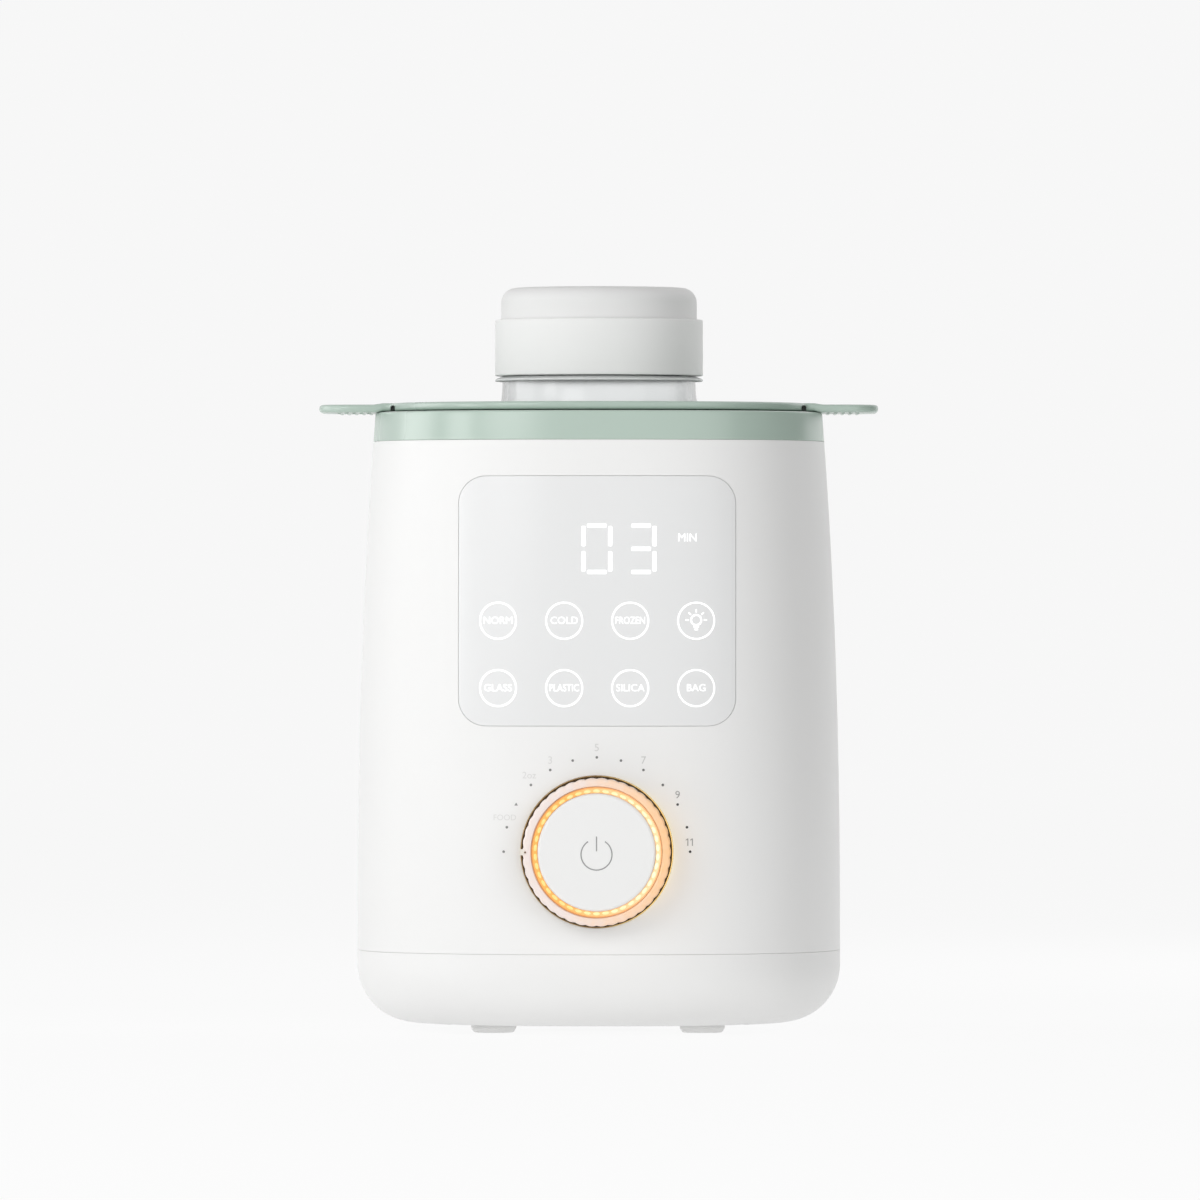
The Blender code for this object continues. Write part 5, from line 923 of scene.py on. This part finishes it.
# Each pair is the colour and glow at the left and at the right, a painted change of light across the ring.
GUIDE_AMBER_PAINTED = ((0.74, 0.31, 0.09), (0.90, 0.52, 0.25))
BAND_AMBER_PAINTED = ((0.90, 0.43, 0.10), (1.0, 0.72, 0.42))
BEAD_AMBER_PAINTED = ((0.97, 0.58, 0.20), (1.0, 0.87, 0.62))
amber_guide = painted_glow_across("amber_guide", GUIDE_AMBER_PAINTED, GUIDE_AMBER_PAINTED, strength=0.12)
amber_band = painted_glow_across("amber_band", BAND_AMBER_PAINTED, BAND_AMBER_PAINTED, strength=0.22)
amber_bead = painted_glow_across("amber_bead", BEAD_AMBER_PAINTED, BEAD_AMBER_PAINTED, strength=0.42)
bm = dial_turned([(GLOW_BORE, GLOW_BACK), (TAIL_REACH, GLOW_BACK), (TAIL_REACH, RING_BACK),
                  (GLOW_REACH, RING_BACK), (GLOW_REACH, GLOW_FRONT, GLOW_ROUND), (BAND_REACH, GLOW_FRONT),
                  (GLOW_BORE, GLOW_FRONT, GLOW_ROUND)])
guide = finished("dial_light_guide", bm, amber_guide)
guide.data.materials.append(amber_band)
for face in guide.data.polygons:
    if math.hypot(face.center.x, face.center.z - DIAL_Z) < BAND_REACH:
        face.material_index = 1
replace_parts(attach(guide, "housing"), "light_ring")
beads = bmesh.new()
for number in range(BEADS):
    turn = Matrix.Rotation(2 * math.pi * (number + 0.5) / BEADS, 4, "Z")
    place = turn @ Matrix.Translation((BEAD_CIRCLE, 0, GLOW_FRONT)) @ Matrix.Diagonal((*BEAD_SHAPE, 1))
    bmesh.ops.create_uvsphere(beads, u_segments=12, v_segments=8, radius=BEAD_REACH, matrix=place)
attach(finished("dial_beads", on_front(beads), amber_bead), "housing")

# Dial works: the white rotor and core that carry the dial and guide the button, the amber film
# over the lamps, and the plated clip and screws. Like pieces elsewhere have the same finishes.
moulded_white = moulded("moulded_white", (0.78, 0.78, 0.77), mottle=0.06, roughness=0.45, grain=2000,
                        bump=0.15)
amber_film = moulded("amber_film", (0.60, 0.35, 0.10), mottle=0.2, roughness=0.2, grain=1500, bump=0.08,
                     depth=0.00003)
plated_steel = metal("plated_steel", (0.62, 0.63, 0.64), roughness=0.2, across=1400, along=300, bump=0.1,
                     depth=0.00004)
finish_carried("moulded_white", moulded_white)
finish_carried("film_amber", amber_film)
finish_carried("steel", plated_steel)

# Button spring: a coil of spring wire round the button's stem. It stands on the core's guide and
# presses the cap forwards, and shortens as the button goes in.
WIRE, WIRE_SIDES, COIL_REACH, COIL_TURNS, COIL_STEPS = 0.0010, 12, 0.0047, 4, 24
COIL_BACK, COIL_FRONT = 0.0018, 0.0074
bm = bmesh.new()
wire_end = Matrix.Translation((COIL_REACH, 0, COIL_BACK)) @ Matrix.Rotation(math.pi / 2, 4, "X")
bmesh.ops.create_circle(bm, segments=WIRE_SIDES, radius=WIRE / 2, matrix=wire_end)
coil_steps = COIL_TURNS * COIL_STEPS
bmesh.ops.spin(bm, geom=bm.verts[:] + bm.edges[:], cent=(0, 0, 0), axis=(0, 0, 1),
               angle=2 * math.pi * COIL_TURNS, dvec=(0, 0, (COIL_FRONT - COIL_BACK) / coil_steps),
               steps=coil_steps)
bmesh.ops.holes_fill(bm, edges=bm.edges)
bmesh.ops.recalc_face_normals(bm, faces=bm.faces)
spring = finished("button_coil", on_front(bm), plated_steel)
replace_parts(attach(spring, "housing"), "button_spring")
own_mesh(spring)

# Circuit boards: green lacquered boards for the dial, the display and the power, screwed to the
# housing, with their switch, sensor, transformer, relay, terminals and leads.
SOLDER = (0.60, 0.60, 0.58, 1)
SOLDER_REACH = 0.22
TRACE_LIFT, LACQUER_DIM = 0.4, 0.7
TRACE_GLOSS, LACQUER_GLOSS = 0.15, 0.2
board_lacquer, given, out = effect_group("board_lacquer", "Pitch")
where = add_node(board_lacquer, "TexCoord").outputs["Object"]
pads = add_node(board_lacquer, "TexVoronoi", {"Vector": where, "Scale": given["Pitch"]}).outputs["Distance"]
solder = worked_out(board_lacquer, "LESS_THAN", pads, SOLDER_REACH)
traces = add_node(board_lacquer, "TexWave", {"Vector": where, "Scale": 120, "Distortion": 6}).outputs["Fac"]
lift = worked_out(board_lacquer, "MULTIPLY_ADD", traces, TRACE_LIFT, LACQUER_DIM)
lacquer = tinted(board_lacquer, given["Colour"], lift)
dotted = add_node(board_lacquer, "Mix", {"Factor": solder, "A": lacquer, "B": SOLDER}, data_type="RGBA")
gloss = worked_out(board_lacquer, "MULTIPLY_ADD", traces, TRACE_GLOSS, LACQUER_GLOSS)
set_inputs(out, {"Colour": dotted.outputs["Result"], "Roughness": gloss, "Height": traces})
finish_carried("circuit_board", with_skin("green_board", board_lacquer,
                                          {"Colour": (0.03, 0.20, 0.09, 1), "Pitch": 260},
                                          bump=0.2, depth=0.00005))
finish_carried("component_black", moulded("black_moulding", (0.03, 0.03, 0.032), mottle=0.3, roughness=0.4,
                                          grain=1800, bump=0.2))
finish_carried("component_blue", moulded("blue_moulding", (0.05, 0.16, 0.40), mottle=0.2, roughness=0.3,
                                         grain=1800, bump=0.15))
finish_carried("lead_red", moulded("red_sleeve", (0.45, 0.03, 0.03), mottle=0.25, roughness=0.5, grain=2600,
                                   bump=0.4, depth=0.00008))

# Power button: a white moulded cap that slides on a stem in the middle of the dial, with the
# power sign printed on it in fine grey lines.
CAP_REACH, CAP_FRONT, CAP_BACK, CAP_WALL = 0.0168, 0.00955, 0.0022, 0.0014
CAP_ROUND, CAP_FALL, CAP_STEPS = 0.0009, 0.0001, 128
STEM_REACH, STEM_END, STEM_ROUND = 0.003, -0.0083, 0.0003
SIGN_REACH, SIGN_LINE, SIGN_GAP, SIGN_STEPS = 0.0044, 0.00033, math.radians(33), 64
SIGN_LOW, SIGN_HIGH, SIGN_DROP = 0.0011, 0.0050, 0.0006
SIGN_FRONT, SIGN_BACK = -0.00004, 0.00006
# The sign's ink is painted a little darker towards its right, a painted shade like the scale's.
SIGN_INK_PAINTED_LIGHT = ((0.36,) * 3, (0.32,) * 3)
cap_bore, cap_inside = CAP_REACH - CAP_WALL, CAP_FRONT - CAP_WALL
bm = dial_turned([(0, STEM_END), (STEM_REACH, STEM_END, STEM_ROUND), (STEM_REACH, cap_inside),
                  (cap_bore, cap_inside), (cap_bore, CAP_BACK), (CAP_REACH, CAP_BACK),
                  (CAP_REACH, CAP_FRONT - CAP_FALL, CAP_ROUND), (0, CAP_FRONT)], CAP_STEPS)
button = finished("button_cap", bm, white_shell)
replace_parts(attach(button, "button"), "power_button")
sign = bmesh.new()
ends = [sign.verts.new((reach * math.sin(SIGN_GAP), 0, reach * math.cos(SIGN_GAP)))
        for reach in (SIGN_REACH - SIGN_LINE / 2, SIGN_REACH + SIGN_LINE / 2)]
bmesh.ops.spin(sign, geom=[*ends, sign.edges.new(ends)], cent=(0, 0, 0), axis=(0, 1, 0),
               angle=2 * math.pi - 2 * SIGN_GAP, steps=SIGN_STEPS)
add_stroke(sign, (0, SIGN_LOW), (0, SIGN_HIGH), SIGN_LINE)
film(sign, SIGN_FRONT, SIGN_BACK)
bmesh.ops.translate(sign, verts=sign.verts, vec=(0, front_wall(0, DIAL_Z) - CAP_FRONT, DIAL_Z - SIGN_DROP))
sign = finished("power_sign", sign, ink_with_painted_light("grey_ink", *SIGN_INK_PAINTED_LIGHT))
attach(sign, "button")

# Lift-out basket: a green moulding with a flat rim, two tabs to lift it by, ribbed underneath,
# and a slotted cage that hangs in the tank and holds the bottle clear of the wall.
RIM_LOW_Z, RIM_TOP_Z, RIM_REACH, RIM_ROUND = 0.1789, 0.1812, 0.0615, 0.0009
RIM_STEPS, RIM_ROUND_STEPS = 200, 4
TAB_REACH, TAB_HALF, TAB_CORNER, TAB_FILLET, TAB_ROUND_STEPS = 0.0808, 0.020, 0.010, 0.0015, 10
TAB_MARGIN = 0.0055
TAB_DROP, TAB_STEP_IN, TAB_STEP_OUT = 0.0004, 0.0622, 0.0648
TAB_SLOT, TAB_SLOT_DEPTH, TAB_SLOT_LOW, TAB_SLOT_HIGH, TAB_SLOT_END = 0.0014, 0.007, -0.002, 0.0016, 0.4
RIB_FIRST, RIB_PITCH, RIB_COUNT, RIB_WIDTH = 0.0664, 0.00213, 5, 0.0011
RIB_DEPTH, RIB_ROOT, RIB_ROUND = 0.00032, 0.0006, 0.0004
CAGE_REACH, CAGE_WALL, CAGE_FLOOR_Z, CAGE_LOW_Z = 0.040, 0.0016, 0.0475, 0.0457
CAGE_ROUND, CAGE_SUNK, CAGE_STEPS = 0.002, 0.0006, 120
WELL_ROUND, WELL_LIP, WELL_LIP_ROUND, WELL_FLARE, WELL_ABOVE = 0.0015, 0.0008, 0.0006, 0.0014, 0.001
SLOTS, SLOT_WIDTH, SLOT_LOW_Z, SLOT_HIGH_Z, SLOT_END, SLOT_PAST = 12, 0.009, 0.060, 0.165, 0.48, 0.003
DRAINS, DRAIN_REACH, DRAIN_CIRCLE, DRAIN_LENGTH = 8, 0.0042, 0.026, 0.006
tab_root = RIM_REACH * (1 - (TAB_HALF / RIM_REACH) ** PLAN_POWER) ** (1 / PLAN_POWER)
TAB_OUTLINE = ((tab_root, -TAB_HALF), (TAB_REACH, -TAB_HALF), (TAB_REACH, TAB_HALF), (tab_root, TAB_HALF))
bm = bmesh.new()
bmesh.ops.create_circle(bm, segments=RIM_STEPS, radius=RIM_REACH,
                        matrix=Matrix.Translation((0, AXIS_Y, RIM_LOW_Z)))
squared(bm)
tab_corners, root_corners = [], []
for side in (-1, 1):
    under_tab = [vert for vert in bm.verts
                 if vert.co.x * side > 0 and abs(vert.co.y - AXIS_Y) < TAB_HALF + TAB_MARGIN]
    bmesh.ops.delete(bm, geom=under_tab, context="VERTS")
    loose = [vert for vert in bm.verts if len(vert.link_edges) == 1 and vert.co.x * side > 0]
    near, far = sorted(loose, key=lambda vert: vert.co.y)
    corners = [bm.verts.new((side * x, AXIS_Y + y, RIM_LOW_Z)) for x, y in TAB_OUTLINE]
    for pair in zip([near, *corners], [*corners, far]):
        bm.edges.new(pair)
    root_corners += [corners[0], corners[3]]
    tab_corners += corners[1:3]
bmesh.ops.contextual_create(bm, geom=bm.edges[:])
rounded(bm, tab_corners, TAB_CORNER, TAB_ROUND_STEPS, "VERTICES")
rounded(bm, root_corners, TAB_FILLET, TAB_ROUND_STEPS, "VERTICES")
raised(bm, (0, 0, RIM_TOP_Z - RIM_LOW_Z))
around = [edge for edge in bm.edges if abs(edge.verts[0].co.z - edge.verts[1].co.z) < SAME]
rounded(bm, around, RIM_ROUND, RIM_ROUND_STEPS)
for x in (-TAB_STEP_OUT, -TAB_STEP_IN, TAB_STEP_IN, TAB_STEP_OUT):
    split_across(bm, 0, x)
for vert in bm.verts:
    fall = (abs(vert.co.x) - TAB_STEP_IN) / (TAB_STEP_OUT - TAB_STEP_IN)
    vert.co.z -= TAB_DROP * min(max(fall, 0), 1)
cage_outer, cage_top_z = CAGE_REACH + CAGE_WALL, RIM_TOP_Z - CAGE_SUNK
cage = spun([(0, CAGE_LOW_Z), (cage_outer, CAGE_LOW_Z, CAGE_ROUND), (cage_outer, cage_top_z),
             (0, cage_top_z)], CAGE_STEPS)
bm = combined(bm, cage, "UNION")
well = spun([(0, CAGE_FLOOR_Z), (CAGE_REACH, CAGE_FLOOR_Z, WELL_ROUND),
             (CAGE_REACH, RIM_TOP_Z - WELL_LIP, WELL_LIP_ROUND),
             (CAGE_REACH + WELL_FLARE, RIM_TOP_Z + WELL_ABOVE), (0, RIM_TOP_Z + WELL_ABOVE)], CAGE_STEPS)
bm = combined(bm, well)
holes = bmesh.new()
for number in range(SLOTS):
    slot_tool = bmesh.new()
    add_block(slot_tool, (CAGE_REACH - SLOT_PAST, -SLOT_WIDTH / 2, SLOT_LOW_Z),
              (cage_outer + SLOT_PAST, SLOT_WIDTH / 2, SLOT_HIGH_Z), SLOT_WIDTH * SLOT_END, along=0)
    turn = Matrix.Rotation(2 * math.pi * (number + 0.5) / SLOTS, 4, "Z")
    place = Matrix.Translation((0, AXIS_Y, 0)) @ turn
    bmesh.ops.transform(slot_tool, matrix=place, verts=slot_tool.verts)
    add_mesh(holes, slot_tool)
for side, end in CORNERS:
    x_low, x_high = sorted((side * (tab_root - TAB_SLOT), side * tab_root))
    y_low, y_high = sorted(AXIS_Y + end * (TAB_HALF + past) for past in (-TAB_SLOT_DEPTH, TAB_SLOT_DEPTH))
    add_block(holes, (x_low, y_low, RIM_LOW_Z + TAB_SLOT_LOW), (x_high, y_high, RIM_LOW_Z + TAB_SLOT_HIGH),
              TAB_SLOT * TAB_SLOT_END, along=1)
for number in range(DRAINS):
    turn = 2 * math.pi * number / DRAINS
    x, y = DRAIN_CIRCLE * math.cos(turn), AXIS_Y + DRAIN_CIRCLE * math.sin(turn)
    add_rod(holes, DRAIN_REACH, DRAIN_LENGTH, Matrix.Translation((x, y, (CAGE_LOW_Z + CAGE_FLOOR_Z) / 2)))
basket = finished("lift_out_basket", combined(bm, holes), sage_green)
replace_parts(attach(basket, "basket"), "lift_basket")
ribs = bmesh.new()
tab_low_z, rib_half = RIM_LOW_Z - TAB_DROP, TAB_HALF - TAB_CORNER / 2
for side in (-1, 1):
    for number in range(RIB_COUNT):
        x = side * (RIB_FIRST + number * RIB_PITCH)
        add_block(ribs, (x - RIB_WIDTH / 2, AXIS_Y - rib_half, tab_low_z - RIB_DEPTH),
                  (x + RIB_WIDTH / 2, AXIS_Y + rib_half, tab_low_z + RIB_ROOT), RIB_ROUND, along=1)
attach(finished("tab_grip_ribs", ribs, sage_green), "basket")

# Feeding bottle: a blown clear plastic bottle with a wide neck, and a milky stop flange shrunk on
# under its screw finish. It stands loose on the basket's floor.
BOTTLE_REACH, BOTTLE_WALL, BOTTLE_LOW_Z, BOTTLE_ROUND = 0.032, 0.0016, 0.0478, 0.006
SHOULDER_LOW_Z, SHOULDER_HIGH_Z, SHOULDER_STEPS = 0.164, 0.1866, 12
NECK_REACH, NECK_TOP_Z, NECK_ROUND = 0.0280, 0.1890, 0.0004
STOP_PLAY, STOP_REACH, STOP_LOW_Z, STOP_EDGE_Z, STOP_TOP_Z = 0.00006, 0.03015, 0.1877, 0.1884, 0.1891
STOP_LOW_ROUND, STOP_EDGE_ROUND = 0.0003, 0.0002
FINISH_REACH, FINISH_LOW_Z, MOUTH_REACH, MOUTH_Z, MOUTH_ROUND = 0.0269, 0.1905, 0.0249, 0.202, 0.0006
BOTTLE_STEPS = 128
THIN_GLASS, THICK_GLASS = (0.35, (0.93, 0.94, 0.94)), (0.90, (0.70, 0.71, 0.71))
clear_bottle = shaded(new_material("clear_bottle"), {"IOR": 1.33, "Transmission Weight": 1})
tree = clear_bottle.node_tree
where = add_node(tree, "TexCoord").outputs["Object"]
haze = add_node(tree, "TexNoise", {"Vector": where, "Scale": 90, "Detail": 3}).outputs["Fac"]
frost = add_node(tree, "MapRange", {"Value": haze, "To Min": 0.12, "To Max": 0.20}).outputs["Result"]
facing = add_node(tree, "LayerWeight").outputs["Facing"]
shaded(clear_bottle, {"Roughness": frost, "Base Color": ramped(tree, facing, (THIN_GLASS, THICK_GLASS))})
shares = [number / SHOULDER_STEPS for number in range(SHOULDER_STEPS + 1)]
shoulder = [(NECK_REACH + (BOTTLE_REACH - NECK_REACH) * (1 + math.cos(math.pi * share)) / 2,
             SHOULDER_LOW_Z + (SHOULDER_HIGH_Z - SHOULDER_LOW_Z) * share) for share in shares]
inner_shoulder = [(r - BOTTLE_WALL, z) for r, z in reversed(shoulder)]
bottle_floor_z = BOTTLE_LOW_Z + BOTTLE_WALL
bm = spun([(0, BOTTLE_LOW_Z), (BOTTLE_REACH, BOTTLE_LOW_Z, BOTTLE_ROUND), *shoulder,
           (NECK_REACH, NECK_TOP_Z, NECK_ROUND), (FINISH_REACH, NECK_TOP_Z),
           (FINISH_REACH, MOUTH_Z, MOUTH_ROUND), (MOUTH_REACH, MOUTH_Z, MOUTH_ROUND),
           (MOUTH_REACH, FINISH_LOW_Z), (NECK_REACH - BOTTLE_WALL, NECK_TOP_Z), *inner_shoulder,
           (BOTTLE_REACH - BOTTLE_WALL, bottle_floor_z, BOTTLE_ROUND - BOTTLE_WALL), (0, bottle_floor_z)],
          BOTTLE_STEPS)
stop_bore = NECK_REACH + STOP_PLAY
add_mesh(bm, spun([(stop_bore, STOP_LOW_Z), (STOP_REACH, STOP_LOW_Z, STOP_LOW_ROUND),
                   (STOP_REACH, STOP_EDGE_Z, STOP_EDGE_ROUND), (stop_bore, STOP_TOP_Z)], BOTTLE_STEPS))
bottle = finished("feeding_bottle", bm, clear_bottle)
milky_flange = moulded("milky_flange", (0.93, 0.94, 0.94), mottle=0.04, roughness=0.2, grain=900, bump=0.05,
                       depth=0.00003)
bottle.data.materials.append(shaded(milky_flange, {"Transmission Weight": 0.25, "IOR": 1.25}))
for face in bottle.data.polygons:
    reach = math.hypot(face.center.x, face.center.y - AXIS_Y)
    if reach > NECK_REACH + STOP_PLAY / 2 and face.center.z > SHOULDER_HIGH_Z:
        face.material_index = 1
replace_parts(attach(bottle, "bottle"), "bottle_body")

# Bottle lid and collar: a low domed disc that closes the mouth, and the plain white ring that
# screws down over it and holds it by its flange.
COLLAR_REACH, COLLAR_LOW_Z, COLLAR_TOP_Z, COLLAR_LIP = 0.03015, 0.18932, 0.2056, 0.0014
COLLAR_BORE_ROUND, COLLAR_LOW_ROUND, COLLAR_TOP_ROUND = 0.0003, 0.0004, 0.0005
LID_REACH, LID_FLANGE, LID_FLANGE_LOW_Z, LID_FLANGE_TOP_Z = 0.0284, 0.0289, 0.2026, 0.2039
LID_WALL, LID_TOP_Z, LID_CROWN, LID_ROUND = 0.0015, 0.2151, 0.0003, 0.0042
finish_bore, lid_hole, flange_hole = FINISH_REACH + FINE_GAP, LID_REACH + FINE_GAP, LID_FLANGE + FINE_GAP
lip_z, stop_z = COLLAR_TOP_Z - COLLAR_LIP, MOUTH_Z + FINE_GAP
bm = spun([(finish_bore, COLLAR_LOW_Z, COLLAR_BORE_ROUND), (COLLAR_REACH, COLLAR_LOW_Z, COLLAR_LOW_ROUND),
           (COLLAR_REACH, COLLAR_TOP_Z, COLLAR_TOP_ROUND), (lid_hole, COLLAR_TOP_Z, COLLAR_BORE_ROUND),
           (lid_hole, lip_z), (flange_hole, lip_z), (flange_hole, stop_z), (finish_bore, stop_z)],
          BOTTLE_STEPS)
collar = finished("screw_collar", bm, white_shell)
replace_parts(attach(collar, "collar"), "bottle_collar")
crown_z, lid_bore = LID_TOP_Z - LID_CROWN, LID_REACH - LID_WALL
bm = spun([(0, LID_TOP_Z - LID_WALL), (lid_bore, crown_z - LID_WALL, LID_ROUND - LID_WALL),
           (lid_bore, LID_FLANGE_LOW_Z), (LID_FLANGE, LID_FLANGE_LOW_Z), (LID_FLANGE, LID_FLANGE_TOP_Z),
           (LID_REACH, LID_FLANGE_TOP_Z), (LID_REACH, crown_z, LID_ROUND), (0, LID_TOP_Z)], BOTTLE_STEPS)
lid_white = moulded("lid_white", (0.795, 0.795, 0.79), mottle=0.015, roughness=0.46, grain=2600, bump=0.10)
lid = finished("domed_lid", bm, lid_white)
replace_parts(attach(lid, "lid"), "bottle_lid")
